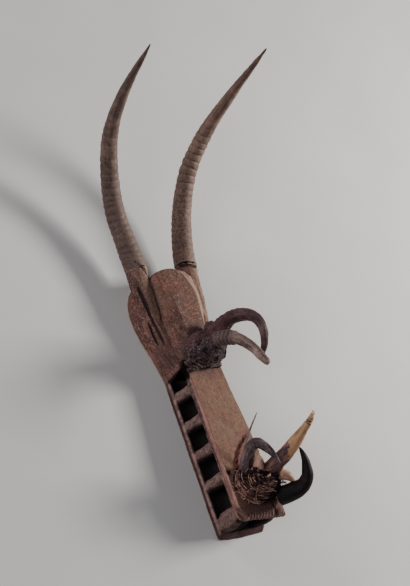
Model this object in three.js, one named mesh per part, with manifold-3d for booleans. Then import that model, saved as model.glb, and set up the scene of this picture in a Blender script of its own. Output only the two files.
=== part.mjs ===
// Carved wooden helmet mask, lying on its underside, with long antelope horns,
// two short horns on the bridge and a tied bundle of horns and spikes on the muzzle.
//
// Millimetres, +Z up. The muzzle points to -Y and the long horns sweep back to +Y.
// Lengths along Y are measured from the front edge of the lower jaw; the whole
// group is then moved so that its origin is the middle of the underside.

import * as THREE from 'three';
import { mergeVertices } from 'three/addons/utils/BufferGeometryUtils.js';
import Module from 'manifold-3d';

const wasm = await Module();
wasm.setup();

// Driving dimensions
const FRONT_TO_ORIGIN = 479.5; // from the jaw's front edge to the part's origin
const GAP = 0.3; // clearance between touching pieces
const FLATNESS = 0.05; // how far a sliver of a cut face may be smoothed away

const JAW_ROOT_Y = 374; // where the jaws leave the helmet
const LOWER_JAW = { frontHalf: 66, rootHalf: 57, thick: 16.5, frontSlope: 10 };
const UPPER_JAW = {
  rootHalf: 49, frontHalf: 62, rootTop: 80, frontTop: 100, thick: 19, ridgeY: 40,
};
const LIP = {
  leftX: -47, rightX: 67, y: 11, top: 92, bottom: 77, notches: 14, notchDepth: 11,
  skew: 3.5, endLump: { x: 51, y: 20, z: 89, halfX: 14, halfY: 15, halfZ: 10.5 },
};

const STRUT = { count: 4, frontY: 98.5, pitch: 70.3, width: 38, depth: 25 };
const FRONT_BLOCK = { frontY: 11, backY: 53, inner: 13, outer: 63, top: 84 };

const HELMET = {
  backY: 620, widestY: 527, widest: 97, jawHalf: 60, roof: 68, frontLean: 0.3,
};
const CAVITY = { centreY: 507, halfX: 72, halfY: 94, height: 82 };
const DOME = { frontY: 446, backY: 617, half: 55, edge: 67, crest: 104, flatHalf: 34 };
const BRIDGE_HALF = 49;

const STEM_END = new THREE.Vector3(71.3, 633, 60); // the right horn stands just inside it
const STEM_FRONT = new THREE.Vector3(62, 432, 54);
const STEM_RADIUS = { front: 5, joint: 25 };

const HORN_RINGS = {
  closeTurns: 13.5, wideFrom: 200, widePitch: 18.5, height: 1.7, from: 0.05, to: 0.64,
};
const HORN_SIDES = 9;
const SMALL_HORN_SIDES = 9;

// Small helpers
const vec = (x, y, z) => new THREE.Vector3(x, y, z);
const mix = THREE.MathUtils.lerp;
const clamp01 = (t) => THREE.MathUtils.clamp(t, 0, 1);
const smooth = (t) => THREE.MathUtils.smoothstep(t, 0, 1);
const mirrored = (point) => vec(-point.x, point.y, point.z);

function signedVolume(points, faces) {
  const scratch = vec(0, 0, 0);
  let total = 0;
  for (const [a, b, c] of faces) {
    total += scratch.crossVectors(points[b], points[c]).dot(points[a]);
  }
  return total / 6;
}

// A closed skin over rings of points. A ring of one point closes that end to a tip;
// any other end is closed by a fan round its middle.
function loft(rings) {
  const points = [];
  const faces = [];
  const starts = rings.map((ring) => {
    const start = points.length;
    points.push(...ring);
    return start;
  });
  for (let i = 0; i + 1 < rings.length; i += 1) {
    const near = rings[i].length;
    const far = rings[i + 1].length;
    const sides = Math.max(near, far);
    for (let k = 0; k < sides; k += 1) {
      const next = (k + 1) % sides;
      const a = starts[i] + (near === 1 ? 0 : k);
      const b = starts[i] + (near === 1 ? 0 : next);
      const c = starts[i + 1] + (far === 1 ? 0 : next);
      const d = starts[i + 1] + (far === 1 ? 0 : k);
      if (near > 1) faces.push([a, b, c]);
      if (far > 1) faces.push([a, c, d]);
    }
  }
  const closeEnd = (index, flip) => {
    const ring = rings[index];
    if (ring.length === 1) return;
    const middle = ring.reduce((sum, p) => sum.add(p), vec(0, 0, 0)).divideScalar(ring.length);
    const centre = points.push(middle) - 1;
    ring.forEach((_, k) => {
      const a = starts[index] + k;
      const b = starts[index] + ((k + 1) % ring.length);
      faces.push(flip ? [b, a, centre] : [a, b, centre]);
    });
  };
  closeEnd(0, true);
  closeEnd(rings.length - 1, false);
  if (signedVolume(points, faces) < 0) faces.forEach((face) => face.reverse());
  const geometry = new THREE.BufferGeometry();
  geometry.setAttribute('position', new THREE.Float32BufferAttribute(
    points.flatMap((p) => [p.x, p.y, p.z]), 3));
  geometry.setIndex(faces.flat());
  return geometry;
}

function toSolid(geometry) {
  const bare = geometry.clone();
  bare.deleteAttribute('normal');
  bare.deleteAttribute('uv');
  const merged = mergeVertices(bare, 1e-4);
  return new wasm.Manifold(new wasm.Mesh({
    numProp: 3,
    vertProperties: new Float32Array(merged.attributes.position.array),
    triVerts: new Uint32Array(merged.index.array),
  }));
}

function toGeometry(solid) {
  const mesh = solid.getMesh();
  const geometry = new THREE.BufferGeometry();
  const stride = mesh.numProp;
  const positions = [];
  for (let i = 0; i < mesh.vertProperties.length; i += stride) {
    positions.push(...mesh.vertProperties.slice(i, i + 3));
  }
  geometry.setAttribute('position', new THREE.Float32BufferAttribute(positions, 3));
  geometry.setIndex([...mesh.triVerts]);
  return geometry;
}

const join = (solids) => solids.reduce((all, one) => all.add(one));
const cut = (solid, cutters) => cutters.reduce((left, one) => left.subtract(one), solid);
// The main body of a cut solid, without the slivers that a cut leaves beside it
const mainBody = (solid) => solid.decompose()
  .reduce((largest, one) => (one.volume() > largest.volume() ? one : largest))
  .asOriginal()
  .simplify(FLATNESS);

// A tapering round body along a smooth curve. radiusAt takes 0 at the root and 1 at
// the tip; flatten squashes the section along its second axis.
function sweep({ points, steps, sides, radiusAt, flatten = 1, grow = 0 }) {
  const path = new THREE.CatmullRomCurve3(points, false, 'centripetal');
  const stations = Array.isArray(steps) ? steps : evenSteps(steps);
  const tangents = stations.map((t) => path.getTangentAt(t));
  let across = vec(1, 0, 0);
  if (Math.abs(across.dot(tangents[0])) > 0.8) across = vec(0, 0, 1);
  const rings = stations.map((t, i) => {
    const tangent = tangents[i];
    across = across.clone().addScaledVector(tangent, -across.dot(tangent)).normalize();
    const up = vec(0, 0, 0).crossVectors(tangent, across);
    const centre = path.getPointAt(t);
    if (grow > 0 && i === 0) centre.addScaledVector(tangent, -grow);
    if (grow > 0 && i === stations.length - 1) centre.addScaledVector(tangent, grow);
    const radius = radiusAt(t) + grow;
    return Array.from({ length: sides }, (_, k) => {
      const angle = (k / sides) * 2 * Math.PI;
      return centre.clone()
        .addScaledVector(across, radius * Math.cos(angle))
        .addScaledVector(up, radius * flatten * Math.sin(angle));
    });
  });
  return loft(rings);
}

function evenSteps(count) {
  return Array.from({ length: count + 1 }, (_, i) => i / count);
}

// Values at named stations, with straight runs between them
function profile(stations) {
  return (t) => {
    const last = stations.length - 1;
    let i = 0;
    while (i < last - 1 && t > stations[i + 1][0]) i += 1;
    const [t0, v0] = stations[i];
    const [t1, v1] = stations[i + 1];
    return mix(v0, v1, clamp01((t - t0) / (t1 - t0)));
  };
}

// Helmet: half width at its widest level, for a place along the mask
function helmetHalf(y) {
  const { backY, widestY, widest, jawHalf } = HELMET;
  if (y < widestY) {
    const t = clamp01((y - JAW_ROOT_Y + 14) / (widestY - JAW_ROOT_Y + 14));
    return jawHalf + (widest - jawHalf) * Math.sin((Math.PI / 2) * t ** 1.45);
  }
  const t = clamp01((y - widestY) / (backY - widestY));
  return widest * (1 - t ** 2.6) ** 0.45;
}

function helmetShell() {
  const levels = [[0, 0.885], [5, 0.945], [13, 0.985], [27, 1], [42, 0.965], [56, 0.89],
    [HELMET.roof, 0.79]];
  const rows = 15;
  const side = Array.from({ length: rows }, (_, i) => {
    const t = i / rows;
    return mix(JAW_ROOT_Y, HELMET.backY, Math.sin((Math.PI / 2) * t) ** 0.92);
  });
  const rings = levels.map(([z, scale]) => {
    const tuck = (1 - scale) * 60;
    const lean = HELMET.frontLean * Math.max(z - LOWER_JAW.thick, 0);
    const placeY = (y) => {
      if (y > HELMET.widestY) {
        return y - tuck * ((y - HELMET.widestY) / (HELMET.backY - HELMET.widestY));
      }
      return y + (lean - 6) * clamp01(1 - (y - JAW_ROOT_Y) / 60);
    };
    const right = side.map((y) => vec(helmetHalf(y) * scale, placeY(y), z));
    const back = vec(0, placeY(HELMET.backY), z);
    const left = side.slice().reverse().map((y) => vec(-helmetHalf(y) * scale, placeY(y), z));
    return [...right, back, ...left];
  });
  return loft(rings);
}

// Dome and bridge: one long ridge along the top of the helmet, flat along its crest, with an
// arris on either side. The shoulders are straight in front and grow full towards the back,
// where they drop steeply to the stems.
function domeAndBridge() {
  const crest = profile([[378, 81], [404, 90], [DOME.frontY, 99], [490, DOME.crest],
    [545, DOME.crest], [590, 98], [606, 93], [DOME.backY, 84]]);
  const edge = profile([[378, 77], [404, 74], [DOME.frontY, 68], [DOME.backY, DOME.edge]]);
  const flatHalf = profile([[378, 36], [DOME.frontY, 27], [500, 31], [530, DOME.flatHalf],
    [557, DOME.flatHalf], [583, 27], [606, 20], [DOME.backY, 11]]);
  const half = (y) => {
    const back = clamp01((y - 588) / (DOME.backY - 588));
    return mix(BRIDGE_HALF, DOME.half, smooth((y - 380) / 60)) * Math.sqrt(1 - 0.88 * back ** 2.2);
  };
  const alongShoulder = (arris, foot, across, down) => vec(
    mix(arris.x, foot.x, across), arris.y, mix(arris.z, foot.z, down));
  const stations = [378, 404, 424, DOME.frontY, 475, 510, 545, 575, 594, 606, 613, DOME.backY];
  const rings = stations.map((y) => {
    const arris = vec(flatHalf(y), y, crest(y) - 1);
    const foot = vec(half(y), y, edge(y));
    const fullness = smooth((y - 460) / 80);
    const slope = alongShoulder(arris, foot, mix(0.5, 0.76, fullness), mix(0.5, 0.26, fullness));
    const drop = alongShoulder(arris, foot, mix(0.85, 1.06, fullness), mix(0.85, 0.56, fullness));
    const rightSide = [vec(flatHalf(y) * 0.5, y, crest(y)), arris, slope, drop, foot,
      vec(half(y), y, 40)];
    const leftSide = rightSide.slice().reverse().map(mirrored);
    return [...leftSide, ...rightSide];
  });
  return loft(rings);
}

function stemPoints() {
  return [STEM_FRONT, vec(68, 500, 55), vec(72, 570, 54), vec(71.5, 604, 55.5),
    vec(70.5, 627, 59), STEM_END];
}

function stem() {
  const { front, joint } = STEM_RADIUS;
  return sweep({
    points: stemPoints(), steps: 10, sides: 16,
    radiusAt: (t) => mix(front, joint, Math.sin((Math.PI / 2) * t) ** 1.05),
  });
}

// The raised lip along the inner edge of each stem, beside the dome
function stemLip() {
  return sweep({
    points: [vec(58, 612, 70), vec(54, 573, 67), vec(54, 536, 66), vec(59, 496, 62)],
    steps: 5, sides: 6, radiusAt: (t) => mix(5.5, 3, t),
  });
}

// The long slit under each stem, and the short one beside its front end
function slit(points, width) {
  return sweep({
    points, steps: 8, sides: 5,
    radiusAt: (t) => 0.3 + width * Math.sin(Math.PI * clamp01(0.04 + 0.92 * t)) ** 0.7,
  });
}

function slits() {
  const long = [vec(92, 594, 67.5), vec(87, 560, 65.5), vec(82, 521, 64), vec(76, 482, 61),
    vec(69, 444, 58.5)];
  const short = [vec(84, 500, 55), vec(80, 472, 51.5), vec(75.5, 445, 48.5)];
  return [slit(long, 3.4), slit(short, 2.8)];
}

// Rounded rectangle in plan, as a ring at one height
function roundedRing({ x0, x1, y0, y1, z, corner, perCorner = 4 }) {
  const centres = [[x1 - corner, y1 - corner, 0], [x0 + corner, y1 - corner, 1],
    [x0 + corner, y0 + corner, 2], [x1 - corner, y0 + corner, 3]];
  return centres.flatMap(([cx, cy, quarter]) => Array.from({ length: perCorner + 1 }, (_, i) => {
    const angle = (quarter + i / perCorner) * (Math.PI / 2);
    return vec(cx + corner * Math.cos(angle), cy + corner * Math.sin(angle), z);
  }));
}

function lowerJaw() {
  const { frontHalf, rootHalf, thick, frontSlope } = LOWER_JAW;
  const ring = (z, slope, inset) => [
    vec(-rootHalf + inset, 420, z), vec(-frontHalf + inset, 5 + slope, z),
    vec(-frontHalf + 5 + inset, slope, z), vec(0, slope - 3, z),
    vec(frontHalf - 5 - inset, slope, z), vec(frontHalf - inset, 5 + slope, z),
    vec(rootHalf - inset, 420, z)];
  return loft([ring(0, 1.5, 1.5), ring(2, 0, 0), ring(thick * 0.55, frontSlope * 0.45, 0),
    ring(thick - 1.5, frontSlope, 0), ring(thick, frontSlope + 1.5, 1.5)]);
}

const upperTop = (y) => mix(UPPER_JAW.rootTop, UPPER_JAW.frontTop,
  (JAW_ROOT_Y - y) / (JAW_ROOT_Y - UPPER_JAW.ridgeY));
const upperHalf = (y) => mix(UPPER_JAW.rootHalf, UPPER_JAW.frontHalf,
  (JAW_ROOT_Y - y) / (JAW_ROOT_Y - UPPER_JAW.ridgeY));

// Upper jaw plank: cross sections from the bridge out to the notched edge of the lip
function upperJaw() {
  const { thick, ridgeY } = UPPER_JAW;
  const section = (y, left, right, top, bottom, crown) => {
    const middle = (left + right) / 2;
    const bevel = 3;
    return [vec(left, y, bottom), vec(right, y, bottom), vec(right, y, top - bevel),
      vec(right - bevel, y, top), vec(middle + 0.45 * (right - middle), y, top + crown),
      vec(middle - 0.45 * (middle - left), y, top + crown), vec(left + bevel, y, top),
      vec(left, y, top - bevel)];
  };
  const skewed = (ring) => ring.map((p) => vec(p.x, p.y - LIP.skew * (p.x / LIP.rightX), p.z));
  const plank = [400, 330, 250, 170, 100, 62, ridgeY].map((y) => section(
    y, -upperHalf(y), upperHalf(y), upperTop(y), upperTop(y) - thick - (y < 65 ? 2 : 0), 1));
  const lip = [
    section(ridgeY - 7, -58, 62, 99, 77, 1),
    section(24, -53, 63, 96, 75.5, 0.5),
    section(LIP.y + 2, LIP.leftX, LIP.rightX, LIP.top, LIP.bottom, 0),
    section(LIP.y - 2, LIP.leftX + 1, LIP.rightX - 1, LIP.top - 4, LIP.bottom + 2, 0),
  ];
  return loft([...plank, ...lip.map(skewed)]);
}

function lipNotches() {
  const { leftX, rightX, notches, notchDepth, y, top, skew } = LIP;
  const pitch = (rightX - leftX) / notches;
  return Array.from({ length: notches - 1 }, (_, i) => {
    const x = leftX + (i + 1) * pitch;
    const edgeY = y - skew * (x / rightX);
    const wedge = (z, reach) => [vec(x - 2.7, edgeY - 6, z), vec(x + 2.7, edgeY - 6, z),
      vec(x + 0.6, edgeY + reach, z), vec(x - 0.6, edgeY + reach, z)];
    return loft([wedge(LIP.bottom - 4, 0), wedge(top + 6, notchDepth)]);
  });
}

// The rounded lump at the right end of the lip
function lipEndLump() {
  const { x, y, z, halfX, halfY, halfZ } = LIP.endLump;
  return mound({ centre: vec(x, y, z), radii: vec(halfX, halfY, halfZ), rows: 6, sides: 10,
    roughness: 0 });
}

// One upright strut between the jaws: a post with a rounded outer face
function strut(frontY, sideSign) {
  const { width, depth } = STRUT;
  const middle = frontY + width / 2;
  const roundness = 13;
  const rings = [[12, 0.84], [24, 0.8], [46, 0.86], [80, 1.02]].map(([z, scale]) => {
    const rise = clamp01((z - LOWER_JAW.thick) / 54);
    const outer = mix(lowerHalf(middle) - 3.5, upperHalf(middle) - 2, rise);
    const half = (width / 2) * scale;
    const centreY = middle + (1 - scale) * 3;
    const face = Array.from({ length: 6 }, (_, i) => {
      const angle = -Math.PI / 2 + (Math.PI * i) / 5;
      const bulge = Math.cos(angle) ** 0.85;
      return vec(sideSign * (outer + roundness * (bulge - 1)), centreY + half * Math.sin(angle), z);
    });
    const inner = sideSign * (outer - depth);
    return [...face, vec(inner, centreY + half * 0.9, z), vec(inner, centreY - half * 0.9, z)];
  });
  return loft(rings);
}

const lowerHalf = (y) => mix(LOWER_JAW.rootHalf, LOWER_JAW.frontHalf, 1 - y / 420);

// The big rounded block that closes each side of the mouth at the front
function frontBlock(sideSign) {
  const { frontY, backY, inner, outer, top } = FRONT_BLOCK;
  const levels = [[12, 0.5, 14], [20, 0, 7], [32, -1.5, 1.5], [50, -1.5, 0], [68, 1, 0], [top, 3, -3]];
  const rings = levels.map(([z, inset, tuck]) => roundedRing({
    x0: inner + inset, x1: outer - inset, y0: frontY + inset * 1.4, y1: backY - tuck,
    z, corner: 12, perCorner: 3,
  }).map((p) => vec(p.x * sideSign, p.y, p.z)));
  return loft(rings);
}

// Hollow that takes the top of the head: a low vault open at the underside
function cavity() {
  const { centreY, halfX, halfY, height } = CAVITY;
  const levels = [-4, 0, 24, 44, 60, 72, 80];
  const sides = 24;
  const rings = levels.map((z) => {
    const scale = Math.sqrt(1 - (Math.max(z, 0) / height) ** 2.2);
    return Array.from({ length: sides }, (_, k) => {
      const angle = (k / sides) * 2 * Math.PI;
      return vec(halfX * scale * Math.cos(angle), centreY + halfY * scale * Math.sin(angle), z);
    });
  });
  return loft(rings);
}

// Long horns: Bezier centreline of the right one, out of the stem's end
const LONG_HORN_PATH = [vec(71, 631, 59.5), vec(78, 677, 66), vec(97, 765, 90),
  vec(114, 839, 139), vec(136, 895, 214), vec(153, 931, 317), vec(164, 961, 464)];
const LONG_HORN_RADIUS = profile([[0, 25.6], [0.1, 24], [0.25, 22], [0.5, 18.5], [0.75, 12],
  [0.92, 6], [0.985, 2.4], [1, 1]]);
const LONG_HORN_LENGTH = 589;

// The rings lie close together near the root and wider apart above it. Each turn is one
// ring, with its crest at the whole turn and its groove at the half turn.
const ringTurn = profile([[0, 0], [HORN_RINGS.wideFrom, HORN_RINGS.closeTurns],
  [LONG_HORN_LENGTH, HORN_RINGS.closeTurns
    + (LONG_HORN_LENGTH - HORN_RINGS.wideFrom) / HORN_RINGS.widePitch]]);

function ringPlace(turn) {
  const { closeTurns, wideFrom, widePitch } = HORN_RINGS;
  const along = turn < closeTurns
    ? (turn * wideFrom) / closeTurns
    : wideFrom + (turn - closeTurns) * widePitch;
  return along / LONG_HORN_LENGTH;
}

function ringedRadius(t) {
  const { height, from, to } = HORN_RINGS;
  const strength = smooth((t - from) / 0.04) * smooth((to - t) / 0.12);
  const wave = Math.cos(2 * Math.PI * ringTurn(t * LONG_HORN_LENGTH));
  return LONG_HORN_RADIUS(t) + height * strength * wave;
}

function longHornSteps() {
  const { from, to } = HORN_RINGS;
  const ringed = [];
  for (let turn = 1; ringPlace(turn) < to; turn += 0.5) {
    if (ringPlace(turn) > from) ringed.push(ringPlace(turn));
  }
  const tip = evenSteps(7).slice(1).map((s) => mix(ringed.at(-1), 1, s));
  return [0, from / 2, ...ringed, ...tip];
}

function longHorn(sideSign, grow = 0) {
  const points = sideSign > 0 ? LONG_HORN_PATH : LONG_HORN_PATH.map(mirrored);
  return sweep({
    points, steps: longHornSteps(), sides: HORN_SIDES, radiusAt: ringedRadius, grow,
  });
}

// Short horns, spikes and the quill: centreline, radius along it and section. Where two
// of them touch, the later one is hollowed to fit against the earlier one.
const SMALL_PIECES = {
  bridge_horn_far: {
    points: [vec(24, 426, 112), vec(24.5, 435, 160), vec(25.5, 438, 185), vec(27.5, 426, 229),
      vec(29, 407, 257), vec(30.2, 391, 266), vec(31.7, 369, 267), vec(32.5, 344, 255),
      vec(33, 326, 238)],
    radiusAt: profile([[0, 14], [0.2, 15.5], [0.45, 15], [0.62, 12.4], [0.8, 9.8], [0.93, 7.2],
      [1, 4.5]]),
    steps: 14, sides: SMALL_HORN_SIDES, color: 0x544440,
  },
  bridge_horn_near: {
    points: [vec(2, 398, 108), vec(1, 404, 150), vec(0, 393, 188), vec(-2, 372, 222),
      vec(-4, 338, 254), vec(-6, 305, 274), vec(-7, 284, 286)],
    radiusAt: profile([[0, 16], [0.3, 15], [0.6, 12], [0.85, 10], [0.96, 8], [1, 5]]),
    steps: 13, sides: SMALL_HORN_SIDES, color: 0x5e4e49,
  },
  beak_spike: {
    points: [vec(14, 94, 104), vec(22, 99, 134), vec(35, 113, 197), vec(48.5, 139, 256),
      vec(54, 151.5, 282), vec(57, 163, 292)],
    radiusAt: profile([[0, 16], [0.35, 17], [0.6, 14.5], [0.85, 7.8], [0.94, 6], [1, 2]]),
    flatten: 0.85, steps: 10, sides: SMALL_HORN_SIDES, color: 0xa88a72,
  },
  front_horn_crescent: {
    points: [vec(44, 42, 118), vec(57, 40, 146), vec(67, 42, 170), vec(71.5, 54, 189),
      vec(70, 74, 201), vec(66, 94, 208.5), vec(60, 116, 211)],
    radiusAt: profile([[0, 21], [0.25, 20], [0.5, 14.5], [0.75, 9.5], [0.93, 4.5], [1, 1.2]]),
    steps: 12, sides: SMALL_HORN_SIDES, color: 0x544240,
  },
  front_horn_arch: {
    points: [vec(-24, 100, 104), vec(-20, 130, 129), vec(-17, 149, 150), vec(-13.5, 152, 170),
      vec(-9, 136, 186), vec(-5, 117, 195), vec(0, 89, 203)],
    radiusAt: profile([[0, 14.5], [0.3, 14], [0.5, 12.6], [0.75, 9], [0.93, 4], [1, 1.5]]),
    steps: 12, sides: SMALL_HORN_SIDES, color: 0x5a4a47,
  },
  small_cone: {
    points: [vec(1, 106, 128), vec(-2, 127, 149), vec(-4, 141, 158)],
    radiusAt: profile([[0, 15], [0.45, 11], [0.9, 2.6], [1, 1]]),
    steps: 5, sides: 8, color: 0x97795f,
  },
  pale_spike: {
    points: [vec(34, 86, 142), vec(52, 75, 152), vec(66, 61, 153), vec(80, 53, 154)],
    radiusAt: profile([[0, 13], [0.45, 10.5], [0.75, 4.5], [1, 1]]),
    steps: 7, sides: 8, color: 0xa98d78,
  },
  quill: {
    points: [vec(-13, 118, 104), vec(-6, 148, 112), vec(0, 171, 124), vec(5, 192, 145),
      vec(11, 218, 180)],
    radiusAt: profile([[0, 2.4], [0.6, 2.6], [0.9, 1.6], [1, 0.7]]),
    steps: 8, sides: 6, color: 0x4a3d38,
  },
};

const smallPiece = (name, grow = 0) => sweep({ ...SMALL_PIECES[name], grow });

// A rounded mound with an uneven surface
function mound({ centre, radii, rows, sides, roughness }) {
  const rings = Array.from({ length: rows + 1 }, (_, i) => {
    const tilt = -Math.PI / 2 + (Math.PI * i) / rows;
    const count = i === 0 || i === rows ? 1 : sides;
    return Array.from({ length: count }, (_unused, k) => {
      const turn = (k / sides) * 2 * Math.PI;
      const bump = 1 + roughness * (Math.sin(5 * turn + 3 * tilt) * 0.5
        + Math.sin(9 * turn - 7 * tilt) * 0.3 + Math.cos(3 * turn + 8 * tilt) * 0.4);
      const flat = Math.cos(tilt) * (count === 1 ? 0 : 1);
      return vec(
        centre.x + radii.x * bump * flat * Math.cos(turn),
        centre.y + radii.y * bump * flat * Math.sin(turn),
        centre.z + radii.z * bump * Math.sin(tilt));
    });
  });
  return loft(rings);
}

// A band that passes over the top of a piece from one side to the other
function roll({ centre, halfX, height, lean, radius }) {
  const count = 5;
  const points = Array.from({ length: count + 1 }, (_, i) => {
    const angle = Math.PI * (i / count);
    return vec(centre.x - halfX * Math.cos(angle), centre.y + lean * Math.cos(angle),
      centre.z + height * Math.sin(angle) ** 0.8);
  });
  return sweep({ points, steps: 8, sides: 5, radiusAt: () => radius });
}

function bridgeWrapBody() {
  const body = mound({ centre: vec(4, 408, 96), radii: vec(54, 43, 47), rows: 7, sides: 14,
    roughness: 0.05 });
  const farCollar = sweep({
    points: [vec(21, 416, 106), vec(24, 433, 152), vec(25.2, 438, 178)],
    radiusAt: profile([[0, 25], [0.6, 21], [1, 17]]), steps: 4, sides: 10,
  });
  const nearCollar = sweep({
    points: [vec(2, 398, 106), vec(1.5, 403, 135), vec(1, 403, 158)],
    radiusAt: profile([[0, 24], [0.6, 21], [1, 17.5]]), steps: 4, sides: 10,
  });
  const backLump = mound({ centre: vec(24, 446, 122), radii: vec(15, 17, 17), rows: 5, sides: 9,
    roughness: 0.08 });
  const rolls = [
    roll({ centre: vec(-2, 371, 80), halfX: 46, height: 14, lean: -3, radius: 7 }),
    roll({ centre: vec(0, 385, 84), halfX: 50, height: 26, lean: -2, radius: 7.5 }),
  ];
  return join([body, backLump, farCollar, nearCollar, ...rolls].map(toSolid));
}

function fibreNestBody() {
  const body = mound({ centre: vec(4, 84, 108), radii: vec(52, 42, 34), rows: 6, sides: 12,
    roughness: 0.07 });
  const turns = [
    { halfX: 48, height: 34, y: 62, lean: 10, radius: 4.2 },
    { halfX: 50, height: 42, y: 78, lean: -8, radius: 4.6 },
    { halfX: 46, height: 44, y: 92, lean: 12, radius: 4.2 },
    { halfX: 42, height: 38, y: 108, lean: -6, radius: 4 },
  ];
  const bands = turns.map(({ y, ...shape }) => roll({ centre: vec(6, y, 102), ...shape }));
  const knot = mound({ centre: vec(36, 86, 134), radii: vec(22, 19, 24), rows: 5, sides: 9,
    roughness: 0.05 });
  return join([body, knot, ...bands].map(toSolid));
}

// Build the pieces
function carvedMask() {
  const bothSides = (make) => [1, -1].map(make);
  const mirrorX = (geometry) => {
    const copy = geometry.clone();
    const position = copy.attributes.position;
    for (let i = 0; i < position.count; i += 1) position.setX(i, -position.getX(i));
    copy.setIndex([...copy.index.array].reverse());
    return copy;
  };
  const stems = [stem(), stemLip()].flatMap((one) => [one, mirrorX(one)]);
  const struts = Array.from({ length: STRUT.count }, (_, i) => STRUT.frontY + i * STRUT.pitch)
    .flatMap((y) => bothSides((sign) => strut(y, sign)));
  const blocks = bothSides(frontBlock);
  const carved = join([helmetShell(), domeAndBridge(), ...stems, lowerJaw(), upperJaw(),
    lipEndLump(), ...struts, ...blocks].map(toSolid));
  const grooves = slits().flatMap((one) => [one, mirrorX(one)]);
  const hornSeats = bothSides((sign) => longHorn(sign, GAP));
  return mainBody(cut(carved, [cavity(), ...grooves, ...lipNotches(), ...hornSeats].map(toSolid)));
}

const moved = (solid, step) => toSolid(toGeometry(solid).translate(step.x, step.y, step.z));

const mask = carvedMask();
// The mask with a little clearance all round, to seat what lies on it
const maskSeat = [vec(GAP, 0, 0), vec(0, GAP, 0), vec(0, 0, GAP)].reduce(
  (solid, step) => join([solid, moved(solid, step), moved(solid, step.clone().negate())])
    .asOriginal().simplify(FLATNESS), mask);

const smallNames = Object.keys(SMALL_PIECES);
const smallSeats = smallNames.map((name) => toSolid(smallPiece(name, GAP)));
const smallSolids = smallNames.map((name, i) => mainBody(
  cut(toSolid(smallPiece(name)), [maskSeat, ...smallSeats.slice(0, i)])));

const wrap = mainBody(cut(bridgeWrapBody(), [maskSeat, ...smallSeats]));
const nest = mainBody(cut(fibreNestBody(), [maskSeat, ...smallSeats]));

// Assemble the group
const material = (color, roughness) => new THREE.MeshStandardMaterial({
  color, roughness, metalness: 0,
});

const group = new THREE.Group();
group.position.y = -FRONT_TO_ORIGIN;

function place(name, geometry, finish) {
  const mesh = new THREE.Mesh(geometry, finish);
  mesh.name = name;
  group.add(mesh);
}

place('carved_mask', toGeometry(mask), material(0x5c443a, 0.72));
place('long_horn_left', longHorn(-1), material(0x554743, 0.6));
place('long_horn_right', longHorn(1), material(0x554743, 0.6));
place('bridge_wrap', toGeometry(wrap), material(0x2c2424, 0.95));
place('fibre_nest', toGeometry(nest), material(0x3e2c28, 0.95));
smallNames.forEach((name, i) => {
  place(name, toGeometry(smallSolids[i]), material(SMALL_PIECES[name].color, 0.6));
});

export default group;
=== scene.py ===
import math
import random
from contextlib import contextmanager
from functools import reduce

import bpy
import numpy as np
from mathutils import Matrix, Vector
from mathutils.bvhtree import BVHTree


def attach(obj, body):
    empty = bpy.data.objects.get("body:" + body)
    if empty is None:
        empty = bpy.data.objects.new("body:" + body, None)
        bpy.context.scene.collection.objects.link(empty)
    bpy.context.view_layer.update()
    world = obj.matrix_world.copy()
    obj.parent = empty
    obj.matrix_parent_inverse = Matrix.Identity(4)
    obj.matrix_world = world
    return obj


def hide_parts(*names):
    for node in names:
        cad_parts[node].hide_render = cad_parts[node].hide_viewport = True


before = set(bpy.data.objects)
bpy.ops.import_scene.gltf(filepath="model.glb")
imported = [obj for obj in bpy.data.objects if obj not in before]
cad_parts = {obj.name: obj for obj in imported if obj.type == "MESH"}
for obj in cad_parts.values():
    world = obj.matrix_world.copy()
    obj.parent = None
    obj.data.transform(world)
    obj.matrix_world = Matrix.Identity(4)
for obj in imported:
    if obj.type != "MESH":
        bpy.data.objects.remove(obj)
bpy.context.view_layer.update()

FRONT_TO_ORIGIN = 479.5


def at(x, y, z):
    return Vector((x, y - FRONT_TO_ORIGIN, z)) / 1000


def along_mask(y):
    """The place on the Y axis of a distance in millimetres from the front of the jaw."""
    return at(0, y, 0).y


# Working on pieces
def put_in_scene(name, data=None):
    item = bpy.data.objects.new(name, data)
    bpy.context.scene.collection.objects.link(item)
    return item


def only(piece):
    bpy.ops.object.select_all(action="DESELECT")
    piece.select_set(True)
    bpy.context.view_layer.objects.active = piece


@contextmanager
def editing(piece):
    """Edit mode on one piece, with all of it selected."""
    only(piece)
    bpy.ops.object.mode_set(mode="EDIT")
    bpy.ops.mesh.select_all(action="SELECT")
    yield
    bpy.ops.object.mode_set(mode="OBJECT")


def refine(piece, kind, **settings):
    """Adds a modifier with these settings and applies it."""
    only(piece)
    modifier = piece.modifiers.new(kind.title(), kind)
    for key, value in settings.items():
        setattr(modifier, key, value)
    bpy.ops.object.modifier_apply(modifier=modifier.name)


def copy_of(node, name):
    """A copy of a solid of the part, with its corners merged, to be worked on."""
    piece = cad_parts[node].copy()
    piece.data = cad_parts[node].data.copy()
    piece.name = name
    piece.data.name = name
    piece.parent = None
    for key in list(piece.keys()):
        del piece[key]
    bpy.context.scene.collection.objects.link(piece)
    piece.data.materials.clear()
    with editing(piece):
        bpy.ops.mesh.remove_doubles(threshold=1e-6)
    return piece


def uneven(piece, size, strength, stretch=(1, 1, 1), seed=0.0):
    """Pushes the surface in and out by a cloudy pattern of this size, stretched if asked."""
    texture = bpy.data.textures.new("clouds", "CLOUDS")
    texture.noise_scale = size
    handle = put_in_scene("pattern_place")
    handle.scale = stretch
    handle.location = (seed, seed * 0.7, seed * 1.3)
    bpy.context.view_layer.update()
    refine(piece, "DISPLACE", texture=texture, texture_coords="OBJECT",
           texture_coords_object=handle, strength=strength, mid_level=0.5)
    bpy.data.objects.remove(handle)
    bpy.data.textures.remove(texture)


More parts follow.
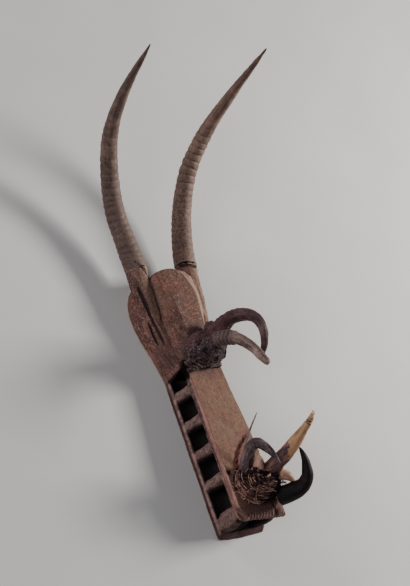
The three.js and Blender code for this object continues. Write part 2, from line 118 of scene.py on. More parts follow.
def corners_of(piece):
    mesh = piece.data
    places = np.empty(len(mesh.vertices) * 3)
    mesh.vertices.foreach_get("co", places)
    return places.reshape(-1, 3)


def outward_of(piece):
    mesh = piece.data
    normals = np.empty(len(mesh.vertices) * 3, np.float32)
    mesh.vertex_normals.foreach_get("vector", normals)
    return normals.reshape(-1, 3)


def put_corners(piece, places):
    piece.data.vertices.foreach_set("co", places.ravel())
    piece.data.update()


def keep_number(piece, name, values):
    """Stores a number for each corner, for a finish to read."""
    mark = piece.data.attributes.new(name, "FLOAT", "POINT")
    mark.data.foreach_set("value", values.astype(np.float32))


def surface_of(piece):
    bpy.context.view_layer.update()
    return BVHTree.FromObject(piece, bpy.context.evaluated_depsgraph_get())


def laid_on(piece, lines):
    """Lays each line of points in millimetres on the surface of a piece. A line has its
    points, its half width and its depth; a negative depth is a raised line."""
    surface = surface_of(piece)
    laid = []
    for points, half_width, depth in lines:
        path = smooth_through([at(*p) for p in points], 6)
        laid.append((np.array([surface.find_nearest(p)[0] for p in path]), half_width, depth))
    return laid


def nearness(places, path, reach):
    """1 on the path, falling to 0 at this distance from it and at its two ends."""
    value = np.zeros(len(places))
    near = np.all((places > path.min(0) - reach) & (places < path.max(0) + reach), axis=1)
    spots = places[near]
    if not len(spots):
        return value
    nearest = np.full(len(spots), 1e9)
    along = np.zeros(len(spots))
    for i in range(len(path) - 1):
        step = path[i + 1] - path[i]
        t = np.clip(((spots - path[i]) @ step) / max(step @ step, 1e-12), 0, 1)
        away = np.linalg.norm(spots - path[i] - t[:, None] * step, axis=1)
        along = np.where(away < nearest, (i + t) / (len(path) - 1), along)
        nearest = np.minimum(nearest, away)
    fade = np.sin(math.pi * np.clip(0.03 + 0.94 * along, 0, 1)) ** 0.5
    value[near] = np.clip(1 - (nearest / reach) ** 2, 0, 1) ** 1.5 * fade
    return value


def press_lines(piece, laid):
    """Presses laid lines into a surface, or raises them where the depth is negative."""
    places, outward = corners_of(piece), outward_of(piece)
    push = np.zeros(len(places))
    for path, half_width, depth in laid:
        bite = nearness(places, path, half_width / 1000) * depth / 1000
        push = np.where(np.abs(bite) > np.abs(push), bite, push)
    put_corners(piece, places - outward * push[:, None])


def mark_lines(piece, laid):
    """Marks how far into a groove each corner lies, from 0 to 1, less in a soft hollow."""
    places = corners_of(piece)
    depth_share = np.zeros(len(places))
    for path, half_width, depth in laid:
        if depth > 0:
            share = np.minimum(1, 1.7 * nearness(places, path, half_width / 1000))
            share *= min(1.0, depth / (0.65 * half_width))
            depth_share = np.maximum(depth_share, share)
    keep_number(piece, "pressed", depth_share)


def soften(piece, angle=60):
    only(piece)
    bpy.ops.object.shade_smooth_by_angle(angle=math.radians(angle))


def settle(piece, finish, slot, *nodes):
    """Gives a piece its finish and its place on the part."""
    piece.data.materials.clear()
    piece.data.materials.append(finish)
    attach(piece, "root")
    if nodes:
        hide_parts(*nodes)
    return piece


# Horns and spikes
def smooth_through(points, per_span=24):
    """A smooth line through the given points, by the centripetal rule."""
    ends = [2 * points[0] - points[1], *points, 2 * points[-1] - points[-2]]
    line = []
    for p0, p1, p2, p3 in zip(ends, ends[1:], ends[2:], ends[3:]):
        k0, k1, k2 = (math.sqrt((b - a).length) for a, b in ((p0, p1), (p1, p2), (p2, p3)))
        out_of = ((p1 - p0) / k0 - (p2 - p0) / (k0 + k1) + (p2 - p1) / k1) * k1
        into = ((p2 - p1) / k1 - (p3 - p1) / (k1 + k2) + (p3 - p2) / k2) * k1
        for i in range(per_span):
            t = i / per_span
            line.append(p1 + out_of * t + (3 * (p2 - p1) - 2 * out_of - into) * t ** 2
                        + (2 * (p1 - p2) + out_of + into) * t ** 3)
    return [*line, points[-1]]


def between(stations):
    """Values at named stations, with straight runs between them."""
    places, values = zip(*stations)
    return lambda t: float(np.interp(t, places, values))


def draw_blank(name, length, radius_at, steps, sides, flatten=1.0):
    """A straight blank drawn up along Z ring by ring from a circle, closed at both ends."""
    bpy.ops.object.select_all(action="DESELECT")
    bpy.ops.mesh.primitive_circle_add(vertices=sides, radius=radius_at(0))
    piece = bpy.context.object
    piece.name = piece.data.name = name
    with editing(piece):
        bpy.ops.transform.resize(value=(1, flatten, 1), center_override=(0, 0, 0))
        for i in range(1, steps + 1):
            height = length * i / steps
            scale = radius_at(i / steps) / radius_at((i - 1) / steps)
            bpy.ops.mesh.extrude_edges_move(
                TRANSFORM_OT_translate={"value": (0, 0, length / steps)})
            bpy.ops.transform.resize(value=(scale, scale, 1), center_override=(0, 0, height))
        bpy.ops.mesh.merge(type="CENTER")
        bpy.ops.mesh.select_all(action="DESELECT")
    for corner in piece.data.vertices:
        corner.select = corner.co.z < 1e-7
    bpy.ops.object.mode_set(mode="EDIT")
    bpy.ops.mesh.edge_face_add()
    bpy.ops.mesh.select_all(action="SELECT")
    bpy.ops.mesh.normals_make_consistent(inside=False)
    bpy.ops.object.mode_set(mode="OBJECT")
    return piece


def keep_blank_places(piece):
    """Stores each corner's place on the straight blank, so that a finish can follow the bend."""
    places = corners_of(piece)
    mark = piece.data.attributes.new("blank", "FLOAT_VECTOR", "POINT")
    mark.data.foreach_set("vector", places.astype(np.float32).ravel())


def bend_along(piece, line):
    """Bends a straight blank so that its middle follows the line."""
    guide_line = bpy.data.curves.new("guide", "CURVE")
    guide_line.dimensions = "3D"
    spline = guide_line.splines.new("POLY")
    spline.points.add(len(line) - 1)
    for point, place in zip(spline.points, line):
        point.co = (*place, 1)
    guide = put_in_scene("guide", guide_line)
    bpy.context.view_layer.update()
    refine(piece, "CURVE", object=guide, deform_axis="POS_Z")
    bpy.data.objects.remove(guide)
    bpy.data.curves.remove(guide_line)


def length_of(line):
    return sum((b - a).length for a, b in zip(line, line[1:]))


def make_horn(name, points, radii, steps, sides, flatten=1.0, relief=None):
    """A horn or spike on its centre line. relief adds to the radius along the blank."""
    line = smooth_through([at(*p) for p in points])
    length = length_of(line)
    radius = between(radii)

    def radius_at(t):
        extra = relief(t, length) if relief else 0
        return max((radius(t) + extra) / 1000, 0.0004)

    piece = draw_blank(name, length, radius_at, steps, sides, flatten)
    keep_blank_places(piece)
    return piece, line


LONG_HORN_POINTS = [(71, 631, 59.5), (78, 677, 66), (97, 765, 90), (114, 839, 139),
                    (136, 895, 214), (153, 931, 317), (164, 961, 464)]
LONG_HORN_RADII = [(0, 25.6), (0.1, 24), (0.25, 22), (0.5, 18.5), (0.75, 12), (0.92, 6),
                   (0.985, 2.4), (1, 1)]
LONG_HORN_STEPS, LONG_HORN_SIDES = 300, 36
CLOSE_PITCH = 14.8
GROOVE_WIDTH = 1.9
FINE_PITCH = 4.9
COLLAR_FADE = 8
# How far the broad rings reach back over the close ones, and the lengths over which the broad
# ones begin, the horn's upper end grows smooth, and the close ones begin at the root
RING_OVERLAP, RING_FADE, UPPER_FADE, ROOT_FADE = 12, 14, 45, 25
RELIEF_SAMPLES = 301


def ramp(distance, length):
    """Rises from 0 to 1 over this length."""
    return np.clip(distance / length, 0, 1)


def ring_phase(along, first_groove, pitch):
    """Counts the rings along a horn. A whole number is a groove; near the root they are closer."""
    if along > first_groove:
        return (along - first_groove) / pitch
    return (along - first_groove) / CLOSE_PITCH


def rings(first_groove, pitch, depth, upper_end):
    """The relief of a ringed horn: broad rings with narrow grooves between them."""
    def relief(t, length):
        along = t * length * 1000
        phase = ring_phase(along, first_groove, pitch) + 0.06 * math.sin(along / 23)
        to_groove = abs(phase - round(phase)) * pitch
        groove = math.exp(-(to_groove / GROOVE_WIDTH) ** 2)
        swell = 0.5 - 0.5 * math.cos(2 * math.pi * phase)
        upper = ramp(along - first_groove + RING_OVERLAP, RING_FADE)
        upper *= ramp(upper_end - along, UPPER_FADE)
        lower = ramp(first_groove - along, RING_FADE) * ramp(along, ROOT_FADE)
        fine = math.cos(2 * math.pi * along / FINE_PITCH)
        return (upper * (depth * (0.35 * swell - groove) + 0.4)
                + lower * (0.7 * swell - 0.4 * groove + 0.25 * fine))
    return relief


def collars(start, end, pitch, height):
    """Raised collars round a horn between two distances along it, in millimetres."""
    def relief(t, length):
        along = t * length * 1000
        strength = ramp(along - start, COLLAR_FADE) * ramp(end - along, COLLAR_FADE)
        return strength * height * (1 - 2 * abs(math.sin(math.pi * along / pitch)) ** 4)
    return relief


def hollow_shares(horn, relief, length, depth=1.0):
    """How deep each corner of a straight blank lies in the relief, from 0 to 1."""
    along = np.clip(corners_of(horn)[:, 2] / length, 0, 1)
    if not relief:
        return np.zeros(len(along))
    places = np.linspace(0, 1, RELIEF_SAMPLES)
    raised = [relief(t, length) for t in places]
    return np.clip(-np.interp(along, places, raised) / depth, 0, 1)


def long_horn(side, name, seed, first_groove, pitch, depth, upper_end):
    points = [(side * x, y, z) for x, y, z in LONG_HORN_POINTS]
    relief = rings(first_groove, pitch, depth, upper_end)
    horn, line = make_horn(name, points, LONG_HORN_RADII, LONG_HORN_STEPS,
                           LONG_HORN_SIDES, relief=relief)
    keep_number(horn, "hollow", hollow_shares(horn, relief, length_of(line), depth))
    tilt_rings(horn, seed)
    uneven(horn, 0.014, 0.0016, seed=seed)
    uneven(horn, 0.0045, 0.0009, seed=seed + 1)
    bend_along(horn, line)
    cracks = laid_on(horn, JOINT_CRACKS[side])
    press_lines(horn, cracks)
    mark_lines(horn, cracks)
    soften(horn)
    return horn


def tilt_rings(horn, seed):
    """Lets the rings of a straight blank run a little aslant, each its own way."""
    places = corners_of(horn)
    height = places[:, 2] / 0.04
    lean_x = 0.14 * np.sin(height * 1.3 + seed) + 0.07 * np.sin(height * 4.3 + seed * 2)
    lean_y = 0.14 * np.cos(height * 1.1 + seed) + 0.07 * np.sin(height * 3.7 + seed * 3)
    free = ramp(places[:, 2], 0.02)
    places[:, 2] += free * (lean_x * places[:, 0] + lean_y * places[:, 1])
    put_corners(horn, places)


# Where each long horn has cracked at its root, and the lumps of resin beside the crack
JOINT_CRACKS = {
    1: [([(44, 629, 66), (58, 624, 80), (74, 619, 85), (88, 618, 78)], 5.2, 4.4),
        ([(84, 624, 82), (92, 622, 74)], 5.0, -2.2), ([(86, 612, 80), (93, 612, 70)], 4.0, -1.8)],
    -1: [([(-86, 642, 82), (-74, 624, 84), (-60, 604, 78)], 2.8, 2.4),
         ([(-80, 634, 84), (-66, 621, 83), (-56, 612, 76)], 2.0, 1.4)],
}


SMALL_HORNS = {
    "bridge_horn_far": dict(
        points=[(24, 426, 112), (24.5, 435, 160), (25.5, 438, 185), (27.5, 426, 229),
                (29, 407, 257), (30.2, 391, 266), (31.7, 369, 267), (32.5, 344, 255),
                (33, 326, 238)],
        radii=[(0, 14), (0.2, 15.5), (0.45, 15), (0.62, 12.4), (0.8, 9.8), (0.93, 7.2), (1, 4.5)],
        steps=90, sides=28),
    "bridge_horn_near": dict(
        points=[(2, 398, 108), (1, 404, 150), (0, 393, 188), (-2, 372, 222),
                (-4, 338, 254), (-6, 305, 274), (-7, 284, 286)],
        radii=[(0, 16), (0.3, 15), (0.6, 12), (0.85, 10), (0.96, 8), (1, 5)],
        steps=90, sides=28),
    "beak_spike": dict(
        points=[(14, 94, 104), (22, 99, 134), (35, 113, 197), (48.5, 139, 256),
                (54, 151.5, 282), (57, 163, 292)],
        radii=[(0, 16), (0.35, 17), (0.6, 14.5), (0.85, 7.8), (0.94, 6), (1, 2)],
        steps=80, sides=24, flatten=0.85),
    "front_horn_crescent": dict(
        points=[(44, 42, 118), (57, 40, 146), (67, 42, 170), (71.5, 54, 189),
                (70, 74, 201), (66, 94, 208.5), (60, 116, 211)],
        radii=[(0, 21), (0.25, 20), (0.5, 14.5), (0.75, 9.5), (0.93, 4.5), (1, 1.2)],
        steps=70, sides=28),
    "front_horn_arch": dict(
        points=[(-24, 100, 104), (-20, 130, 129), (-17, 149, 150), (-13.5, 152, 170),
                (-9, 136, 186), (-5, 117, 195), (0, 89, 203)],
        radii=[(0, 14.5), (0.3, 14), (0.5, 12.6), (0.75, 9), (0.93, 4), (1, 1.5)],
        steps=70, sides=24),
    "small_cone": dict(
        points=[(1, 106, 128), (-2, 127, 149), (-4, 141, 158)],
        radii=[(0, 15), (0.45, 11), (0.9, 2.6), (1, 1)], steps=30, sides=20),
    "pale_spike": dict(
        points=[(34, 86, 142), (52, 75, 152), (66, 61, 153), (80, 53, 154)],
        radii=[(0, 13), (0.45, 10.5), (0.75, 4.5), (1, 1)], steps=36, sides=20),
    "quill": dict(
        points=[(-13, 118, 104), (-6, 148, 112), (0, 171, 124), (5, 192, 145),
                (11, 218, 180)],
        radii=[(0, 2.4), (0.6, 2.6), (0.9, 1.6), (1, 0.7)], steps=50, sides=10),
}


def small_horn(node, name, seed, dents, relief):
    horn, line = make_horn(name, relief=relief, **SMALL_HORNS[node])
    uneven(horn, 0.01, dents * 1.6, seed=seed)
    uneven(horn, 0.0035, dents * 0.6, seed=seed + 2)
    keep_number(horn, "hollow", hollow_shares(horn, relief, length_of(line)))
    keep_number(horn, "tone", np.full(len(horn.data.vertices), 0.6))
    bend_along(horn, line)
    soften(horn)
    return horn


# Finishes
class Finish:
    """A surface finish, laid up coat by coat from patterns that sit still on the piece."""

    def __init__(self, name, roughness, specular, attribute=None):
        self.material = bpy.data.materials.new(name)
        self.material.use_nodes = True
        self.nodes = self.material.node_tree.nodes
        self.links = self.material.node_tree.links
        self.shader = self.nodes["Principled BSDF"]
        self.shader.inputs["Roughness"].default_value = roughness
        self.shader.inputs["Specular IOR Level"].default_value = specular
        self.on_piece = self.nodes.new("ShaderNodeTexCoord").outputs
        self.place = self.number(attribute, "Vector") if attribute else self.on_piece["Object"]
        self.color = None

    def give(self, socket, value):
        """Links a socket to another node's value, or sets it to a number or colour."""
        if isinstance(value, bpy.types.NodeSocket):
            self.links.new(value, socket)
        elif socket.type == "RGBA":
            socket.default_value = (*value, 1)
        else:
            socket.default_value = value

    def add(self, kind, **inputs):
        node = self.nodes.new(kind)
        for key, value in inputs.items():
            self.give(node.inputs[key], value)
        return node

    def number(self, name, output="Fac"):
        """What a piece keeps for each of its corners under this name."""
        node = self.nodes.new("ShaderNodeAttribute")
        node.attribute_name = name
        return node.outputs[output]

    def noise(self, scale, detail, rough, stretch=(1, 1, 1), shift=(0, 0, 0), warp=0.0):
        place = self.add("ShaderNodeMapping", Vector=self.place, Scale=stretch, Location=shift)
        return self.add("ShaderNodeTexNoise", Vector=place.outputs["Vector"], Scale=scale,
                        Detail=detail, Roughness=rough, Distortion=warp).outputs["Fac"]

    def spread(self, value, low, high, end=1.0, start=0.0):
        """Runs from start to end while the value runs from low to high."""
        node = self.nodes.new("ShaderNodeMapRange")
        for key, number in zip(("Value", "From Min", "From Max", "To Min", "To Max"),
                               (value, low, high, start, end)):
            self.give(node.inputs[key], number)
        return node.outputs["Result"]

    def calc(self, kind, *values, clamp=False):
        node = self.nodes.new("ShaderNodeMath")
        node.operation = kind
        node.use_clamp = clamp
        for socket, value in zip(node.inputs, values):
            self.give(socket, value)
        return node.outputs["Value"]

    def plus(self, *values):
        return reduce(lambda a, b: self.calc("ADD", a, b), values)

    def times(self, *shares):
        """The product of several shares, kept between 0 and 1."""
        return reduce(lambda a, b: self.calc("MULTIPLY", a, b, clamp=True), shares)

    def most(self, *shares):
        return reduce(lambda a, b: self.calc("MAXIMUM", a, b), shares)

    def mix(self, share, a, b):
        node = self.nodes.new("ShaderNodeMix")
        node.data_type = "RGBA"
        share_socket, a_socket, b_socket = node.inputs[0], node.inputs[6], node.inputs[7]
        for socket, value in ((share_socket, share), (a_socket, a), (b_socket, b)):
            self.give(socket, value)
        return node.outputs[2]

    def coat(self, share, color, strength=None):
        """Lays a colour over the finish where the share is 1."""
        if strength:
            share = self.times(share, strength)
        self.color = self.mix(share, self.color, color)

    def fleck(self, value, low, high, color, strength=1.0, within=None):
        """Lays a colour where the value goes from low to high, and only within a share."""
        share = self.spread(value, low, high, strength)
        self.coat(self.times(share, within) if within else share, color)

    def steps_of(self, value, *stops):
        node = self.add("ShaderNodeValToRGB", Fac=value)
        bands = node.color_ramp
        while len(bands.elements) < len(stops):
            bands.elements.new(0.5)
        for element, (place, color) in zip(bands.elements, stops):
            element.position = place
            element.color = (*color, 1)
        return node.outputs["Color"]

    def edges(self):
        return self.nodes.new("ShaderNodeNewGeometry").outputs["Pointiness"]

    def toward(self, axis):
        """The part of the surface's own direction that points along this axis."""
        return self.add("ShaderNodeSeparateXYZ", Vector=self.on_piece["Normal"]).outputs[axis]

    def part_of_place(self, axis):
        return self.add("ShaderNodeSeparateXYZ", Vector=self.place).outputs[axis]

    def measure(self, kind, place, other):
        node = self.nodes.new("ShaderNodeVectorMath")
        node.operation = kind
        self.give(node.inputs[0], place)
        self.give(node.inputs[1], other)
        return node.outputs["Value"]

    def reach_along(self, direction):
        """How far a place lies along this direction."""
        return self.measure("DOT_PRODUCT", self.on_piece["Object"], direction)

    def near_to(self, centre, inner, outer):
        """1 inside the inner distance of a point, 0 beyond the outer one."""
        return self.spread(self.measure("DISTANCE", self.place, centre), outer, inner)

    def ragged(self, share, low=0.35, high=0.65):
        """Breaks up the soft border of a share into patches."""
        return self.spread(self.plus(share, self.noise(90, 5, 0.65), -0.5), low, high)

    def window(self, value, low, high, soft):
        """1 where the value lies between low and high, fading over the soft width."""
        return self.times(self.spread(value, low - soft, low),
                          self.spread(value, high + soft, high))

    def shine(self, share, low):
        """Takes the gloss down to this value where the share is 1."""
        full = self.shader.inputs["Specular IOR Level"]
        self.give(full, self.spread(share, 0, 1, low, full.default_value))

    def done(self, height=None, strength=0.5, distance=0.001):
        """The finished material. height is its fine relief, and distance the depth of that."""
        self.give(self.shader.inputs["Base Color"], self.color)
        if height:
            bump = self.add("ShaderNodeBump", Height=height, Strength=strength,
                            Distance=distance)
            self.give(self.shader.inputs["Normal"], bump.outputs["Normal"])
        return self.material


TAN = (0.161, 0.094, 0.059)
RED_BROWN = (0.12, 0.044, 0.031)
GREY_BROWN = (0.082, 0.046, 0.035)
# pale worn tone, also used for painted highlights
WORN_AND_HIGHLIGHT = (0.44, 0.295, 0.235)
# painted shade for hollows and grooves
CREVICE_SHADE = (0.012, 0.007, 0.008)
BLACK = (0.005, 0.0035, 0.0035)
WORN_HORN = (0.3, 0.2, 0.155)
CRUST_BLACK = (0.008, 0.005, 0.006)


def carved_wood():
    wood = Finish("carved_wood", 0.74, 0.2)
    along, level = wood.part_of_place("Y"), wood.part_of_place("Z")
    aside = wood.calc("ABSOLUTE", wood.part_of_place("X"))

    def behind(start, end, *shares):
        """Runs from 0 to 1 between two distances from the front of the lower jaw."""
        return wood.spread(along, along_mask(start), along_mask(end), *shares)

    jaw, helmet = behind(384, 366), behind(340, 440)
    sideways = wood.spread(wood.calc("ABSOLUTE", wood.toward("X")), 0.35, 0.75)
    upward = wood.spread(wood.toward("Z"), 0.35, 0.8)
    forward = wood.spread(wood.toward("Y"), -0.1, -0.65)
    mouth_level = wood.window(level, 0.0175, 0.079, 0.0015)
    in_mouth = wood.times(mouth_level, jaw)
    grain = wood.noise(130, 5, 0.62, stretch=(1, 0.08, 1), warp=0.4)
    clouds = wood.noise(20, 5, 0.62)
    mottle = wood.noise(85, 4, 0.65, shift=(1, 2, 3))
    speckle = wood.noise(240, 3, 0.7, shift=(4, 1, 7))
    # tan along the jaw, redder and darker on the helmet
    jaw_tone = wood.mix(wood.spread(clouds, 0.4, 0.62), TAN, (0.16, 0.067, 0.049))
    helmet_tone = wood.mix(wood.spread(clouds, 0.4, 0.6), RED_BROWN, GREY_BROWN)
    wood.color = wood.mix(helmet, jaw_tone, helmet_tone)
    wood.fleck(mottle, 0.45, 0.68, (0.205, 0.112, 0.072), 0.5)
    wood.fleck(mottle, 0.5, 0.3, (0.075, 0.039, 0.038), 0.6)
    # the posts and blocks of the mouth are greyer
    grey = wood.mix(wood.spread(mottle, 0.42, 0.58), (0.095, 0.06, 0.059), (0.225, 0.148, 0.135))
    wood.coat(in_mouth, grey, 0.75)
    # the sides of the upper jaw are pink at the upper edge, purple brown below, and streaked
    jaw_side = wood.times(sideways, jaw, wood.spread(in_mouth, 1, 0))
    jaw_slope = 16 / 378
    edge_wave = wood.spread(grain, 0.35, 0.65, 0.003, -0.003)
    below_top = wood.plus(level, wood.calc("MULTIPLY", along, jaw_slope), 0.0203, edge_wave)
    side_tone = wood.mix(wood.spread(below_top, 0.084, 0.0885), (0.105, 0.052, 0.054),
                         (0.35, 0.15, 0.13))
    wood.coat(jaw_side, side_tone, 0.75)
    dark_streaks = wood.times(wood.spread(grain, 0.46, 0.6), jaw_side)
    wood.coat(dark_streaks, (0.08, 0.032, 0.036), 0.55)
    fine_grain = wood.noise(170, 4, 0.6, stretch=(1, 0.06, 1), shift=(2, 5, 1))
    wood.fleck(fine_grain, 0.46, 0.56, (0.48, 0.245, 0.205), 1.0, jaw_side)
    # red blotches on the flanks of the helmet, dark at the back and bright low down
    blotches = wood.noise(60, 5, 0.7, stretch=(1, 0.5, 1), shift=(7, 2, 4))
    flank = wood.times(sideways, helmet)
    wood.fleck(blotches, 0.5, 0.62, (0.23, 0.088, 0.073), 0.75, flank)
    wood.fleck(blotches, 0.47, 0.36, (0.06, 0.028, 0.03), 0.6, flank)
    back_flank = wood.times(sideways, behind(440, 520), wood.spread(level, 0.07, 0.06))
    wood.coat(back_flank, (0.05, 0.026, 0.027), 0.45)
    low_flank = wood.times(flank, wood.window(along, along_mask(425), along_mask(500), 0.02),
                           wood.spread(level, 0.056, 0.044), wood.spread(blotches, 0.42, 0.56))
    wood.coat(low_flank, (0.3, 0.135, 0.108), 0.6)
    # the stems are tanner than the dome between them, and what faces right gets a painted highlight
    stems = wood.times(helmet, wood.spread(aside, 0.05, 0.058), wood.spread(level, 0.062, 0.072))
    wood.coat(stems, (0.2, 0.132, 0.098), 0.35)
    right_face_highlight = wood.times(wood.spread(wood.toward("X"), 0.1, 0.4), helmet,
                        wood.spread(level, 0.064, 0.074))
    wood.coat(right_face_highlight, (0.35, 0.235, 0.165), 0.75)
    # specks, fainter on top of the jaw, and pink crumbs on the flanks and round the binding
    speckled = wood.spread(wood.times(upward, jaw), 0, 1, 0.5, 1.0)
    wood.fleck(speckle, 0.55, 0.7, (0.4, 0.25, 0.2), 0.65, speckled)
    wood.fleck(speckle, 0.45, 0.32, (0.042, 0.022, 0.022), 0.7, speckled)
    crumbs = wood.noise(300, 4, 0.72, shift=(5, 5, 2))
    clumps = wood.spread(wood.noise(45, 4, 0.65, shift=(6, 3, 3)), 0.44, 0.58, 1.0, 0.1)
    crumbly = wood.most(wood.times(flank, 0.8), wood.near_to(at(-18, 410, 80), 0.04, 0.08))
    crumbly = wood.times(crumbly, clumps)
    wood.fleck(crumbs, 0.54, 0.64, (0.4, 0.215, 0.185), 0.8, crumbly)
    wood.fleck(crumbs, 0.46, 0.38, (0.03, 0.015, 0.017), 1.0, crumbly)
    # painted shade darkens the faces of the lower jaw; their pale margin is worn and also a painted
    # highlight of the lit upper edge; they are worn in patches
    jaw_taper = 9 / 420
    from_edge = wood.plus(aside, wood.calc("MULTIPLY", along, jaw_taper))
    patchy = wood.spread(wood.noise(75, 4, 0.65, shift=(8, 1, 1)), 0.4, 0.56, 0.95, 0.3)
    shaded_jaw_faces = wood.times(wood.window(level, 0.0005, 0.0172, 0.0005), jaw)
    wood.coat(shaded_jaw_faces, (0.036, 0.017, 0.018), 0.9)
    worn_margin_highlight = wood.times(shaded_jaw_faces, wood.spread(from_edge, 0.0512, 0.0526),
                             wood.spread(level, 0.0095, 0.014), patchy)
    wood.coat(worn_margin_highlight, (0.33, 0.2, 0.178))
    wood.coat(wood.times(wood.spread(level, 0.0042, 0.0022), jaw, patchy), WORN_AND_HIGHLIGHT, 0.6)
    front_face = wood.times(behind(22, 12), wood.window(level, 0.0, 0.0172, 0.0005), patchy,
                            wood.spread(mottle, 0.44, 0.58))
    wood.coat(front_face, (0.16, 0.1, 0.096), 0.6)
    # painted highlight on the lower rim of the helmet, and painted shade on the front end,
    # strongest on the lip under the fibre knot
    wood.coat(wood.times(wood.spread(level, 0.012, 0.007), helmet), WORN_AND_HIGHLIGHT, 0.6)
    front = wood.times(behind(62, 36), wood.spread(level, 0.076, 0.082, 1.0, 0.4))
    wood.coat(front, (0.08, 0.038, 0.038), 0.62)
    # bright arrises, partly wear and partly painted highlight; painted shade in the hollows and the
    # pressed grooves
    wood.fleck(wood.edges(), 0.52, 0.6, WORN_AND_HIGHLIGHT, 0.8)
    wood.fleck(wood.edges(), 0.485, 0.42, CREVICE_SHADE, 0.8)
    wood.fleck(wood.number("pressed"), 0.05, 0.6, CREVICE_SHADE, 0.95)
    # darker round the binding, on the cheeks and round the fibre knot
    cheeks = wood.most(*(wood.near_to(at(x, 418, 52), 0.022, 0.052) for x in (-68, 68)))
    darker_near_bindings = wood.most(wood.near_to(at(5, 412, 95), 0.045, 0.088), wood.times(cheeks, 0.85),
                        wood.near_to(at(6, 82, 108), 0.045, 0.068))
    wood.coat(wood.ragged(darker_near_bindings, 0.35, 0.95), (0.065, 0.034, 0.035), 0.55)
    # painted shade: darker fronts of the posts, and black inside the mouth, on its sill and on its
    # back wall
    post_front_shade = wood.times(in_mouth, forward, wood.most(behind(60, 74, 1.0, 0.55),
                                                    wood.spread(level, 0.06, 0.074)), 0.9)
    sill = wood.times(wood.window(level, 0.0135, 0.03, 0.001),
                      wood.spread(from_edge, 0.0494, 0.0486), upward, jaw, behind(12, 26))
    inside = wood.times(in_mouth, wood.spread(aside, 0.047, 0.041))
    back_wall = wood.times(mouth_level, wood.spread(aside, 0.054, 0.049),
                           wood.window(along, along_mask(352), along_mask(394), 0.006))
    black = wood.most(sill, inside, back_wall, post_front_shade)
    wood.coat(black, BLACK)
    wood.shine(black, 0.03)
    height = wood.plus(wood.times(grain, 0.4), wood.times(speckle, 0.45), wood.times(mottle, 0.6))
    return wood.done(height, 0.75, 0.0018)


def ringed_horn(name, dark, middle, pale, groove_share, grain_share):
    """Ringed horn, grainy towards the root. The shares are how dark its grooves and its
    grains are."""
    horn = Finish(name, 0.6, 0.3, attribute="blank")
    along = horn.part_of_place("Z")
    streaks = horn.noise(240, 5, 0.65, stretch=(1, 1, 0.05))
    flecks = horn.noise(210, 5, 0.78)
    horn.color = horn.steps_of(horn.noise(30, 5, 0.62), (0.36, dark), (0.5, middle), (0.64, pale))
    horn.fleck(streaks, 0.48, 0.66, pale, 0.5)
    horn.fleck(streaks, 0.46, 0.34, dark, 0.5)
    # rougher and grainier towards the root
    root = horn.spread(along, 0.26, 0.16)
    horn.coat(root, tuple(0.7 * m + 0.3 * p for m, p in zip(middle, pale)), 0.6)
    grains = horn.times(horn.spread(flecks, 0.5, 0.57), horn.spread(root, 0, 1, grain_share, 0.25))
    horn.coat(grains, (0.018, 0.009, 0.009))
    horn.fleck(flecks, 0.44, 0.3, WORN_HORN, 0.6)
    horn.fleck(horn.edges(), 0.515, 0.58, WORN_HORN, 0.5)
    # painted shade on the left of each horn, and a painted highlight on its right
    right_lit_side = horn.spread(horn.toward("X"), -0.75, 0.35)
    horn.fleck(right_lit_side, 1, 0, dark, 0.3)
    horn.coat(right_lit_side, pale, 0.3)
    # the grooves are dark here and there
    broken = horn.spread(horn.noise(60, 3, 0.6, stretch=(1, 1, 0.3), shift=(3, 1, 2)), 0.38, 0.55,
                         1.0, 0.35)
    groove = horn.times(horn.spread(horn.number("hollow"), 0.12, 0.6, groove_share), broken)
    horn.coat(groove, (0.014, 0.007, 0.007))
    # the tip is darker and redder
    horn.fleck(along, 0.47, 0.57, (0.06, 0.03, 0.028), 0.6)
    # painted shade in the cracks at the root
    horn.fleck(horn.number("pressed"), 0.05, 0.6, CREVICE_SHADE, 0.95)
    return horn.done(horn.plus(horn.times(streaks, 0.6), horn.times(flecks, 0.8)), 0.7, 0.0014)


def smooth_horn(name, dark, middle, pale, root_tone, root_end, gloss=0.25):
    """Smooth horn with long streaks, and another tone up to root_end along it."""
    horn = Finish(name, 0.55, gloss, attribute="blank")
    streaks = horn.noise(230, 5, 0.65, stretch=(1, 1, 0.06))
    flecks = horn.noise(280, 4, 0.72)
    horn.color = horn.steps_of(horn.noise(45, 5, 0.62), (0.38, dark), (0.5, middle), (0.64, pale))
    horn.fleck(streaks, 0.48, 0.64, pale, 0.6)
    horn.fleck(streaks, 0.46, 0.35, dark, 0.6)
    at_root = horn.spread(horn.part_of_place("Z"), root_end + 0.02, root_end - 0.03)
    horn.coat(horn.ragged(at_root), root_tone, 0.85)
    horn.fleck(flecks, 0.53, 0.64, (0.022, 0.012, 0.012), 0.7)
    horn.coat(horn.spread(flecks, 0.43, 0.32, 0.6), tuple(1.2 * p for p in pale))
    horn.fleck(horn.edges(), 0.53, 0.62, pale, 0.5)
    # painted shade in the hollows
    horn.fleck(horn.edges(), 0.48, 0.42, CREVICE_SHADE, 0.7)
    return horn.done(horn.plus(streaks, horn.times(flecks, 0.6)), 0.6, 0.0012)


